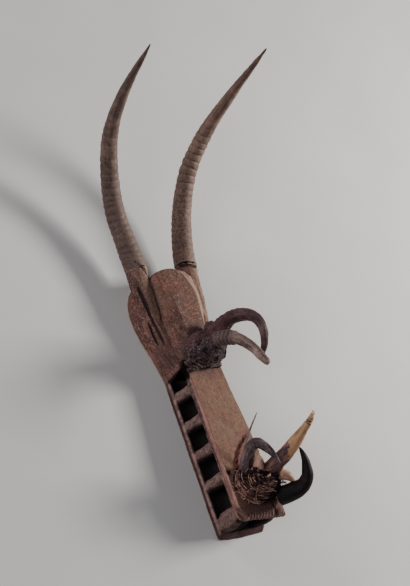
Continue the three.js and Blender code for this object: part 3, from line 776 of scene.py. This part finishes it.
def pale_horn(name, direction, turning_place, brown_end, cream):
    """Cream where a place lies beyond turning_place along the direction and beyond brown_end
    along the horn, brown red elsewhere. cream is the brightest of its tones."""
    horn = Finish(name, 0.5, 0.35, attribute="blank")
    streaks = horn.noise(230, 5, 0.65, stretch=(1, 1, 0.05))
    blots = horn.noise(70, 5, 0.65, stretch=(1, 1, 0.4), shift=(1, 4, 2))
    wave = horn.spread(horn.noise(90, 5, 0.65), 0.3, 0.7, 0.006, -0.006)
    beyond = horn.spread(horn.plus(horn.reach_along(direction), wave), turning_place - 0.0015,
                         turning_place + 0.0015)
    upper = horn.spread(horn.plus(horn.part_of_place("Z"), wave), brown_end - 0.002,
                        brown_end + 0.006)
    pale = horn.steps_of(streaks, (0.34, tuple(0.35 * c for c in cream)),
                         (0.43, tuple(0.8 * c for c in cream)), (0.62, cream))
    root = horn.steps_of(horn.noise(80, 5, 0.65, stretch=(1, 1, 0.3)),
                         (0.38, (0.035, 0.016, 0.018)), (0.5, (0.115, 0.052, 0.048)),
                         (0.64, (0.25, 0.125, 0.105)))
    horn.color = horn.mix(horn.times(beyond, upper), root, pale)
    horn.fleck(blots, 0.58, 0.68, (0.21, 0.09, 0.05), 0.6)
    horn.fleck(horn.noise(300, 3, 0.7), 0.56, 0.72, (0.07, 0.033, 0.025), 0.6)
    horn.fleck(horn.number("hollow"), 0.1, 0.7, (0.05, 0.018, 0.015), 0.95)
    return horn.done(streaks, 0.5, 0.001)


def crust():
    cover = Finish("crust", 0.85, 0.2)
    lumps = cover.noise(70, 5, 0.68)
    grit = cover.noise(330, 3, 0.8)
    crumbs = cover.noise(190, 4, 0.75, shift=(3, 6, 1))
    cover.color = cover.steps_of(lumps, (0.38, (0.01, 0.007, 0.008)),
                                 (0.52, (0.036, 0.023, 0.026)), (0.66, (0.1, 0.063, 0.064)))
    # paler grit, mostly on the left, where the crust is thin
    left = cover.spread(cover.part_of_place("X"), 0.03, -0.03, 1.0, 0.4)
    cover.fleck(crumbs, 0.52, 0.62, (0.21, 0.13, 0.13), 0.55, left)
    cover.fleck(grit, 0.56, 0.66, (0.46, 0.32, 0.305), 0.75, left)
    cover.fleck(crumbs, 0.46, 0.36, CRUST_BLACK, 0.9)
    cover.fleck(cover.edges(), 0.54, 0.64, (0.24, 0.165, 0.15), 0.3)
    cover.fleck(cover.edges(), 0.485, 0.42, CRUST_BLACK, 0.9)
    # redder round the far horn and on the upper left
    red = cover.most(cover.near_to(at(25, 440, 165), 0.03, 0.07),
                     cover.near_to(at(-36, 446, 100), 0.02, 0.06))
    cover.coat(cover.ragged(red, 0.3, 0.8), (0.125, 0.054, 0.056), 0.55)
    return cover.done(cover.plus(lumps, crumbs, cover.times(grit, 0.7)), 0.9, 0.003)


def plant_fibre(name, dark, middle, pale):
    """Fibre whose strands each have a tone of their own. It has a painted shadow, nearly black, at
    the right front of the knot and painted light that makes it paler low on its left."""
    fibre = Finish(name, 0.85, 0.18)
    lit_low_left = fibre.near_to(at(-38, 68, 102), 0.01, 0.034)
    tone = fibre.plus(fibre.number("tone"), fibre.noise(90, 4, 0.65), -0.5,
                      fibre.times(lit_low_left, 0.3))
    fibre.color = fibre.steps_of(tone, (0.15, dark), (0.5, middle), (0.85, pale))
    fibre.fleck(fibre.noise(330, 3, 0.7), 0.52, 0.68, (0.022, 0.012, 0.01), 0.6)
    crescent_shadow = fibre.ragged(fibre.near_to(at(32, 46, 108), 0.016, 0.05), 0.3, 0.7)
    fibre.coat(crescent_shadow, (0.008, 0.005, 0.005), 0.88)
    return fibre.done(fibre.noise(420, 3, 0.7), 0.5, 0.0009)


# The carved mask
def mirrored(line):
    points, half_width, depth = line
    return [(-x, y, z) for x, y, z in points], half_width, depth


LONG_SLIT = [(-90, 588, 67), (-86, 568, 65.5), (-83, 541, 64), (-78, 506, 62.5), (-74.5, 487, 61.5),
             (-72, 467, 61), (-68.5, 442, 60)]
SHORT_SLIT = [(-86, 503, 53), (-81.5, 478, 50.5), (-76, 446, 47.5)]


def slit_lines():
    """The slits under the stem, a soft hollow above the long one, and the cuts beside them."""
    return [(LONG_SLIT, 4.2, 3.2), (SHORT_SLIT, 4.0, 1.9),
            ([(-93, 606, 69), (-88, 572, 66.5), (-84, 545, 65), (-80, 515, 63)], 9.0, 2.3),
            ([(-94, 596, 62), (-91, 575, 58), (-89, 552, 54)], 3.0, 0.5),
            ([(-89, 502, 46), (-84.5, 474, 44), (-79, 448, 40)], 3.0, 0.5)]


def cheek_lines():
    """A feather of faint grooves that runs from the slits down to the root of the jaw."""
    lines = []
    for i in range(6):
        rise = 5.6 * i + 1.5 * math.sin(2.4 * i)
        lines.append(([(-74 + 0.4 * rise, 434 - 0.8 * rise, 40 + rise),
                       (-67 + 0.35 * rise, 410 - 0.3 * rise, 43 + 1.05 * rise),
                       (-60 + 0.3 * rise, 388 + 0.3 * rise, 43 + 1.15 * rise)],
                      2.4, 0.5 + 0.15 * (i % 2)))
    return lines


def dome_lines():
    """The bright lip of the stem beside the dome, and cuts on the bridge."""
    return [([(-62, 590, 76), (-60.5, 549, 72), (-61.5, 520, 70), (-66, 492, 67)], 4.5, -2.0),
            ([(-27, 436, 96), (-20, 430, 97), (-10, 429, 97)], 2.2, 1.1),
            ([(-38, 470, 98), (-36, 462, 97)], 1.8, 0.8)]


def jaw_side_lines():
    """Long grooves along the side of the upper jaw, and along its upper edge."""
    return [([(-50 - 0.3 * i, 372, 64 + 4.2 * i), (-52, 286, 71 + 4.2 * i),
              (-55, 198, 78 + 4.2 * i), (-58, 125, 83 + 4.2 * i), (-60, 60, 86 + 4.2 * i)],
             1.8, 0.65 - 0.1 * i) for i in range(3)]


# Dome and stem part in a hollow on the left, and run together on the right
DOME_HOLLOW = [(-56, 612, 76), (-54, 585, 71), (-53, 552, 68), (-54, 520, 67), (-58, 494, 66)]
RIGHT_FILL = [(58, 600, 76), (56, 580, 72), (55, 552, 70), (56, 520, 68), (60, 496, 66)]


LIP_NOTCHES = [([(x, 4, 84), (x, 9 - 0.05 * x, 90), (x, 22 - 0.05 * x, 95)], 2.3, 2.6)
               for x in np.linspace(-47, 67, 15)[1:12]]
KNOT_HOLES = [([(-51, 121, 96), (-47, 116, 97)], 8.0, 5.0),
              ([(-32, 96, 97), (-30, 99, 97)], 4.0, 2.0)]
# The left shoulder of the dome is rounder than the right one
ROUND_SHOULDER = [([(-40, 604, 90), (-45, 560, 88), (-45, 510, 86), (-42, 462, 84)], 19.0, -4.2)]
LIP_LUMPS = [([(-44, 15, 92), (-40, 12, 91)], 7.0, -4.0)]
LUMP_GROOVE = [([(30, 36, 99), (36, 24, 96), (38, 10, 90)], 3.2, 2.4)]


WOOD_VOXEL = 0.00145
BINDING_VOXEL = 0.0014
WOOD_TRIANGLES = 190000
# The space that the posts take up in the mouth: up and down, front to back, and off the middle
POST_FOOT, POST_TOP, POST_FADE = 18, 79, 8
POSTS_START, POSTS_END, POSTS_ASIDE = 72, 372, 20
FADE_STEPS = 4


def round_posts(wood):
    """Rounds the corners of the posts in the mouth, and fades out at their ends."""
    x, y, z = corners_of(wood).T * 1000
    y = y + FRONT_TO_ORIGIN
    share = ramp(z - POST_FOOT, POST_FADE) * ramp(POST_TOP - z, POST_FADE)
    share *= (y > POSTS_START) & (y < POSTS_END) & (np.abs(x) > POSTS_ASIDE)
    group = wood.vertex_groups.new(name="posts")
    for step in range(1, FADE_STEPS + 1):
        chosen = np.flatnonzero(np.rint(share * FADE_STEPS) == step)
        group.add(chosen.tolist(), step / FADE_STEPS, "REPLACE")
    refine(wood, "SMOOTH", factor=0.5, iterations=60, vertex_group="posts")


def carve_mask():
    wood = copy_of("carved_mask", "mask_wood")
    voxel = WOOD_VOXEL
    refine(wood, "REMESH", mode="VOXEL", voxel_size=voxel)
    refine(wood, "SMOOTH", factor=0.5, iterations=3)
    round_posts(wood)
    uneven(wood, 0.07, 0.0022, seed=0.3)
    uneven(wood, 0.016, 0.0012, seed=0.8)
    uneven(wood, 0.005, 0.0006, stretch=(1, 6, 1), seed=1.4)
    one_side = slit_lines() + cheek_lines() + dome_lines() + jaw_side_lines()
    cuts = laid_on(wood, one_side + [mirrored(line) for line in one_side] + LIP_NOTCHES
                   + [(DOME_HOLLOW, 5.0, 0.8)]
                   + KNOT_HOLES + LIP_LUMPS + LUMP_GROOVE + JOINT_CRACKS[1] + JOINT_CRACKS[-1])
    press_lines(wood, laid_on(wood, ROUND_SHOULDER + [(RIGHT_FILL, 13.0, -4.5)]))
    press_lines(wood, cuts)
    triangles = len(wood.data.polygons) * 2
    refine(wood, "DECIMATE", ratio=min(1.0, WOOD_TRIANGLES / triangles))
    mark_lines(wood, cuts)
    # it lies flat on its lower edge
    places = corners_of(wood)
    places[:, 2] = np.maximum(places[:, 2], 0)
    put_corners(wood, places)
    soften(wood, 75)
    return wood


# Bindings
def lumpy_copy(node, name, smoothings, *clouds):
    """A copy of a binding, smoothed, then made uneven by clouds of a size, strength and seed."""
    piece = copy_of(node, name)
    refine(piece, "REMESH", mode="VOXEL", voxel_size=BINDING_VOXEL)
    refine(piece, "SMOOTH", factor=0.5, iterations=smoothings)
    for size, strength, seed in clouds:
        uneven(piece, size, strength, seed=seed)
    soften(piece, 80)
    return piece


def crust_wrap():
    return lumpy_copy("bridge_wrap", "wrap_crust", 6, (0.02, 0.007, 2.1), (0.009, 0.004, 2.7),
                      (0.004, 0.0014, 3.1))


def fibre_knot():
    knot = lumpy_copy("fibre_nest", "fibre_knot", 5, (0.01, 0.004, 4.2), (0.0035, 0.002, 4.8))
    # the knot under the strands is dark: painted shade in the gaps between them
    keep_number(knot, "tone", np.full(len(knot.data.vertices), 0.12))
    return knot


def frames_along(path):
    """Even places on a path, with two directions square to it at each."""
    path = np.array(path)
    ahead = np.gradient(path, axis=0)
    ahead /= np.linalg.norm(ahead, axis=1)[:, None]
    side = np.cross(ahead, np.array([0.31, 0.52, 0.79]))
    side /= np.linalg.norm(side, axis=1)[:, None]
    return path, side, np.cross(ahead, side)


def strands(name, paths, sides=4):
    """Many strands in one piece: one straight blank, copied and laid along each path.
    A path is its places, its thickness and the tone of its fibre."""
    steps = len(paths[0][0]) - 1
    blank = draw_blank("strand_blank", 1.0, between([(0, 0.45), (0.2, 1), (0.8, 1), (1, 0.4)]),
                       steps, sides)
    shape = corners_of(blank)
    faces = [tuple(face.vertices) for face in blank.data.polygons]
    bpy.data.meshes.remove(blank.data)
    ring = np.clip(np.rint(shape[:, 2] * steps).astype(int), 0, steps)
    places, all_faces, tones = [], [], []
    for path, thickness, tone in paths:
        middle, side, up = frames_along(path)
        start = len(places) * len(shape)
        places.append(middle[ring] + thickness * (side[ring] * shape[:, :1]
                                                  + up[ring] * shape[:, 1:2]))
        all_faces += [tuple(corner + start for corner in face) for face in faces]
        tones += [tone] * len(shape)
    mesh = bpy.data.meshes.new(name)
    mesh.from_pydata(np.concatenate(places).tolist(), [], all_faces)
    piece = put_in_scene(name, mesh)
    with editing(piece):
        bpy.ops.mesh.normals_make_consistent(inside=False)
    keep_number(piece, "tone", np.array(tones))
    soften(piece)
    return piece


NEST_CENTRE = (4, 84, 104)
NEST_RADII = (53, 43, 37)
NEST_FLOOR = 97.0
STRAND_STEPS = 12
STRAND_PLACES = [i / STRAND_STEPS for i in range(STRAND_STEPS + 1)]
FIBRE_TONES = [0.0, 0.1, 0.2, 0.35, 0.5, 0.75, 1.0]


def on_nest(direction, lift):
    """A place on the rounded knot in this direction, lifted off it by a factor."""
    out = Vector(direction).normalized()
    spot = Vector([c + o * r * lift for c, o, r in zip(NEST_CENTRE, out, NEST_RADII)])
    spot.z = max(spot.z, NEST_FLOOR + 1.5 * lift)
    return spot


def wound_strand(rng, ring, rings_in_all):
    """One strand of the ordered winding, an arc in a ring round the foot of the bundle."""
    height = 0.95 - 1.0 * ring / rings_in_all + rng.uniform(-0.03, 0.03)
    start = rng.uniform(0, 2 * math.pi)
    turn = rng.uniform(1.0, 2.6)
    lean_x, lean_y = 0.2 + rng.uniform(-0.12, 0.12), -0.12 + rng.uniform(-0.12, 0.12)
    lift, drift = rng.uniform(0.98, 1.09), rng.uniform(-0.12, 0.12)
    flat = math.sqrt(max(0.02, 1 - height ** 2))
    path = []
    for t in STRAND_PLACES:
        angle = start + turn * t
        level = height + (lean_x * math.cos(angle) + lean_y * math.sin(angle)) * flat
        level += drift * math.sin(math.pi * t) + 0.02 * math.sin(9 * t + start)
        away = lift + 0.08 * t ** 4 + 0.012 * math.sin(14 * t + 3 * start)
        path.append(at(*on_nest((flat * math.cos(angle), flat * math.sin(angle), level), away)))
    tone = rng.choice(FIBRE_TONES)
    return path, rng.uniform(0.0004, 0.001), tone


def crossing_strand(rng):
    """A strand that crosses the winding, from the top of the knot down over its side."""
    angle = rng.uniform(0, 2 * math.pi)
    twist = rng.uniform(-0.9, 0.9)
    lift = rng.uniform(1.03, 1.1)
    path = []
    for t in STRAND_PLACES:
        level = 0.9 - 0.95 * t
        turned = angle + twist * t
        flat = math.sqrt(max(0.02, 1 - level ** 2))
        bulge = lift + 0.03 * math.sin(math.pi * t)
        path.append(at(*on_nest((flat * math.cos(turned), flat * math.sin(turned), level), bulge)))
    return path, rng.uniform(0.0005, 0.0009), rng.choice(FIBRE_TONES)


def curl(rng, place, out, reach, thickness):
    """A short curled end that stands off the knot from this place."""
    aim = (out + Vector((rng.uniform(-0.8, 0.8), rng.uniform(-0.8, 0.8),
                         rng.uniform(-0.8, 0.4)))).normalized()
    bend = Vector((rng.uniform(-1, 1), rng.uniform(-1, 1), rng.uniform(-1, 0.3))) * reach * 0.5
    path = []
    for t in STRAND_PLACES:
        spot = place + aim * reach * t + bend * t ** 2
        spot.z = max(spot.z, NEST_FLOOR + 1)
        path.append(at(*spot))
    return path, thickness, rng.choice(FIBRE_TONES[2:])


def loose_strand(rng):
    """One short end that stands out of the knot and droops."""
    turn = rng.uniform(math.pi * 0.6, math.pi * 2.3)
    level = rng.uniform(-0.05, 0.8)
    flat = math.sqrt(1 - level ** 2)
    out = Vector((flat * math.cos(turn), flat * math.sin(turn), level))
    return curl(rng, on_nest(out, 0.98), out, rng.uniform(6, 15), rng.uniform(0.0005, 0.0009))


# Where the fibre is most frayed, with its spread and the number of strands: beside the side
# point, low on the left, at the right front and on top, round the roots of the bundle
FRAYED_PLACES = [((40, 70, 140), 10, 26), ((-32, 62, 106), 11, 50), ((-44, 84, 104), 9, 30),
                 ((26, 52, 122), 9, 14), ((6, 84, 141), 13, 46), ((-12, 92, 136), 10, 24)]


def scattered(rng, centre, spread):
    return Vector(centre) + Vector([rng.uniform(-spread, spread) for _ in range(3)])


def frayed_strand(rng, centre, spread):
    place = scattered(rng, centre, spread)
    out = (place - Vector(NEST_CENTRE)).normalized()
    return curl(rng, place, out, rng.uniform(5, 12), rng.uniform(0.0007, 0.0012))


RED_THREAD = [(-34, 112, 101), (-27, 128, 101), (-18, 143, 101), (-8, 157, 101), (4, 171, 101),
              (19, 185, 101), (34, 197, 101), (45, 206, 101)]
THREAD_TWIST = 26


def red_thread(rng, line, share):
    """One ply of the twisted thread that lies on this line on the jaw."""
    start = rng.uniform(0, 0.5)
    path = []
    for share_along in STRAND_PLACES:
        t = start + 0.5 * share_along
        spot = line[int(t * (len(line) - 1))]
        turn = THREAD_TWIST * t + share * 2 * math.pi
        path.append(Vector(spot) + Vector((2.6 * math.sin(turn) + rng.uniform(-0.7, 0.7), 0,
                                           2.6 + 2.2 * math.cos(turn))) / 1000)
    return path, rng.uniform(0.0006, 0.0011), rng.choice(FIBRE_TONES)


# Curled shavings at the root of the side point, and the frayed tip of the long beak: the
# centre of each, its spread, the number of shavings and their reach
SHAVINGS = [((40, 83, 149), 7, 44, 6), ((56, 160, 289), 2.5, 16, 9)]


def shaving(rng, centre, spread, reach):
    place = scattered(rng, centre, spread)
    out = scattered(rng, (0.35, 0.25, 0.9), 0.5).normalized()
    return curl(rng, place, out, rng.uniform(0.5, 1.0) * reach,
                rng.uniform(0.0006, 0.0014))


CORD_STEPS_PER_METRE = 900
# How far out of the crust a cord lies, as a share of its radius, and the length of one turn
# of its plies in metres for each millimetre of its radius
CORD_LIFT = 0.45
CORD_LAY = 0.0075
# The cords of the binding, each with its radius in millimetres
BINDING_CORDS = [
    ([(-51, 398, 99), (-49, 389, 101), (-42, 380, 102), (-30, 372, 99), (-21, 368, 96)], 2.4),
    ([(-53, 386, 88), (-50, 378, 90), (-40, 371, 93), (-30, 368, 93)], 2.2),
    ([(4, 366, 95), (16, 365, 95), (28, 367, 94), (38, 372, 92)], 2.2),
    ([(2, 372, 99), (14, 369, 99), (26, 371, 98)], 1.8),
    ([(-7, 389, 146), (-9, 378, 128), (-11, 368, 110)], 1.8),
    ([(42, 392, 118), (43, 384, 104), (42, 377, 92)], 1.8),
]


def binding_cord(number, points, radius, wrap):
    """A two-ply cord of the binding, laid on the crust."""
    surface = surface_of(wrap)
    line = []
    for place in smooth_through([at(*p) for p in points], 12):
        spot, outward, _, _ = surface.find_nearest(place)
        line.append(spot + outward * radius * CORD_LIFT / 1000)
    line = smooth_through(line[:-1:6] + line[-1:], 8)
    length = length_of(line)
    shape = between([(0, 0.5), (0.06, 1), (0.94, 1), (1, 0.5)])
    cord = draw_blank(f"binding_cord_{number}", length, lambda t: shape(t) * radius / 1000,
                      int(length * CORD_STEPS_PER_METRE), 12)
    places = corners_of(cord)
    angle = np.arctan2(places[:, 1], places[:, 0])
    lay = 2 * math.pi * places[:, 2] / (radius * CORD_LAY)
    places[:, :2] *= (0.66 + 0.42 * np.abs(np.cos(angle - lay / 2)))[:, None]
    put_corners(cord, places)
    bend_along(cord, line)
    keep_number(cord, "tone", np.full(len(places), 0.5))
    soften(cord)
    return cord


# Build the pieces
wood_finish = carved_wood()
right_finish = ringed_horn("ringed_horn_right", (0.06, 0.03, 0.025), (0.135, 0.074, 0.054),
                           (0.235, 0.145, 0.105), 0.95, 0.9)
left_finish = ringed_horn("ringed_horn_left", (0.036, 0.02, 0.018), (0.088, 0.051, 0.041),
                          (0.205, 0.13, 0.1), 0.6, 0.35)
far_finish = smooth_horn("far_horn", (0.026, 0.011, 0.014), (0.062, 0.027, 0.031),
                         (0.14, 0.078, 0.072), (0.062, 0.023, 0.027), 0.1, 0.2)
near_finish = smooth_horn("near_horn", (0.07, 0.042, 0.038), (0.15, 0.096, 0.082),
                          (0.28, 0.195, 0.162), (0.06, 0.034, 0.034), 0.112)
arch_finish = smooth_horn("arch_horn", (0.022, 0.014, 0.018), (0.07, 0.044, 0.05),
                          (0.2, 0.13, 0.125), (0.045, 0.022, 0.025), 0.03)
crescent_finish = smooth_horn("crescent_horn", (0.004, 0.003, 0.004), (0.008, 0.005, 0.006),
                              (0.024, 0.015, 0.015), (0.004, 0.003, 0.003), 0.05, 0.12)
crust_finish = crust()
fibre_finish = plant_fibre("plant_fibre", (0.01, 0.005, 0.006), (0.095, 0.038, 0.031),
                           (0.56, 0.32, 0.25))
red_finish = plant_fibre("red_fibre", (0.03, 0.007, 0.008), (0.11, 0.026, 0.026),
                         (0.25, 0.085, 0.07))
cord_finish = plant_fibre("cord_fibre", (0.02, 0.013, 0.012), (0.08, 0.053, 0.048),
                          (0.36, 0.26, 0.215))
quill_finish = plant_fibre("quill_grey", (0.05, 0.04, 0.038), (0.15, 0.125, 0.118),
                           (0.3, 0.25, 0.23))
# The long beak is cream on its right, beyond a line that runs almost along it
beak_finish = pale_horn("beak_spike_horn", (0.768, -0.333, 0.547), 0.2592, 0.087,
                        (0.48, 0.265, 0.137))
cone_finish = pale_horn("short_point_horn", (0.0, 0.4, 0.9), -0.032, 0.006, (0.62, 0.37, 0.27))
side_finish = pale_horn("side_point_horn", (0.0, 0.0, 1.0), 0.12, 0.004, (0.47, 0.27, 0.185))
shaving_finish = plant_fibre("pale_shavings", (0.15, 0.062, 0.038), (0.46, 0.255, 0.16),
                             (0.74, 0.5, 0.345))

mask_wood = settle(carve_mask(), wood_finish, "carved_wood", "carved_mask")
settle(long_horn(1, "horn_right", 0.4, 199, 18.35, 1.4, 362), right_finish, "long_horn",
       "long_horn_right")
settle(long_horn(-1, "horn_left", 2.3, 177, 18.5, 0.9, 372), left_finish, "long_horn",
       "long_horn_left")
wrap_crust = settle(crust_wrap(), crust_finish, "crusted_binding", "bridge_wrap")
settle(fibre_knot(), fibre_finish, "plant_fibre", "fibre_nest")


SMALL_HORN_LOOKS = [
    # node, name, seed, finish, slot, depth of the dents, relief
    ("bridge_horn_far", "short_horn_far", 5.1, far_finish, "small_horn", 1.2,
     collars(40, 118, 13, 0.8)),
    ("bridge_horn_near", "short_horn_near", 5.9, near_finish, "small_horn", 1.1,
     collars(40, 114, 13, 2.8)),
    ("front_horn_arch", "arched_horn", 6.3, arch_finish, "small_horn", 0.9, None),
    ("front_horn_crescent", "crescent_horn", 6.9, crescent_finish, "small_horn", 0.9, None),
    ("beak_spike", "long_beak", 7.3, beak_finish, "pale_horn", 1.2,
     collars(176, 199, 5.6, 1.3)),
    ("small_cone", "short_point", 7.7, cone_finish, "pale_horn", 0.7, None),
    ("pale_spike", "side_point", 8.2, side_finish, "pale_horn", 0.9, None),
    ("quill", "frayed_quill", 8.6, quill_finish, "quill", 0.3, None),
]
for node, name, seed, finish, slot, dents, relief in SMALL_HORN_LOOKS:
    settle(small_horn(node, name, seed, dents / 1000, relief), finish, slot, node)

RINGS_OF_STRANDS = 24
WOUND_STRANDS, CROSSING_STRANDS, LOOSE_STRANDS, THREAD_PLIES = 540, 30, 80, 26
fibre_rng = random.Random(11)
winding = [wound_strand(fibre_rng, i % RINGS_OF_STRANDS, RINGS_OF_STRANDS)
           for i in range(WOUND_STRANDS)]
crossing = [crossing_strand(fibre_rng) for _ in range(CROSSING_STRANDS)]
settle(strands("wound_fibres", winding + crossing), fibre_finish, "plant_fibre")
loose = [loose_strand(fibre_rng) for _ in range(LOOSE_STRANDS)]
for centre, spread, count in FRAYED_PLACES:
    loose += [frayed_strand(fibre_rng, centre, spread) for _ in range(count)]
settle(strands("loose_fibres", loose), fibre_finish, "plant_fibre")
thread_line = laid_on(mask_wood, [(RED_THREAD, 1, 0)])[0][0]
thread = [red_thread(fibre_rng, thread_line, i / THREAD_PLIES) for i in range(THREAD_PLIES)]
settle(strands("red_thread", thread), red_finish, "plant_fibre")
shavings = [shaving(fibre_rng, centre, spread, reach)
            for centre, spread, count, reach in SHAVINGS for _ in range(count)]
settle(strands("pale_shavings", shavings, 6), shaving_finish, "pale_horn")
for number, (points, radius) in enumerate(BINDING_CORDS, 1):
    settle(binding_cord(number, points, radius, wrap_crust), cord_finish, "crusted_binding")


# Floor, light and camera
FLOOR_SIZE = 14
FLOOR_GAP = 0.0004


def floor_finish():
    paper = Finish("pale_floor", 0.9, 0.1)
    paper.color = paper.steps_of(paper.noise(3, 3, 0.5), (0.3, (0.54, 0.535, 0.52)),
                                 (0.7, (0.58, 0.575, 0.56)))
    return paper.done()


bpy.ops.object.select_all(action="DESELECT")
bpy.ops.mesh.primitive_plane_add(size=FLOOR_SIZE, location=(0, 0, -FLOOR_GAP))
floor = bpy.context.object
floor.name = "floor"
floor.data.materials.append(floor_finish())

world = bpy.data.worlds.new("soft_room")
world.use_nodes = True
background = world.node_tree.nodes["Background"].inputs
background["Color"].default_value = (0.9, 0.91, 1.0, 1)
background["Strength"].default_value = 0.12
bpy.context.scene.world = world


LIT_PLACE = Vector((0, 0, 0.1))


def softbox(name, place, power, size, color):
    light = bpy.data.lights.new(name, "AREA")
    light.energy = power
    light.size = size
    light.color = color
    lamp = put_in_scene(name, light)
    lamp.location = place
    lamp.rotation_euler = (LIT_PLACE - Vector(place)).to_track_quat("-Z", "Y").to_euler()


softbox("key", (2.5, -0.2, 1.72), 142, 0.8, (1.0, 0.97, 0.92))
softbox("left_back", (-1.9, 2.0, 0.9), 36, 1.0, (1.0, 0.96, 0.96))
softbox("left_front", (-2.5, -0.5, 1.7), 30, 1.3, (0.96, 0.95, 1.0))

# The camera of the photograph: turned about its line of sight, looking down on the mask
CAMERA_PLACE = Vector((-2.44266, -0.70155 - FRONT_TO_ORIGIN / 1000, 2.85825))
RIGHT = Vector((0.76781, -0.33349, 0.54704))
UP = Vector((0.06098, 0.888, 0.45577))
BACK = Vector((-0.63777, -0.31659, 0.70215))
FOCUS_PX = 3830 / 2.2
TALL_SIDE_PX = 586
SENSOR_WIDTH = 36

lens = bpy.data.cameras.new("photograph")
lens.sensor_width = SENSOR_WIDTH
lens.lens = SENSOR_WIDTH * FOCUS_PX / TALL_SIDE_PX
lens.clip_end = 60
camera = put_in_scene("photograph", lens)
camera.matrix_world = Matrix.Translation(CAMERA_PLACE) @ Matrix(
    (RIGHT, UP, BACK)).transposed().to_4x4()
bpy.context.scene.camera = camera
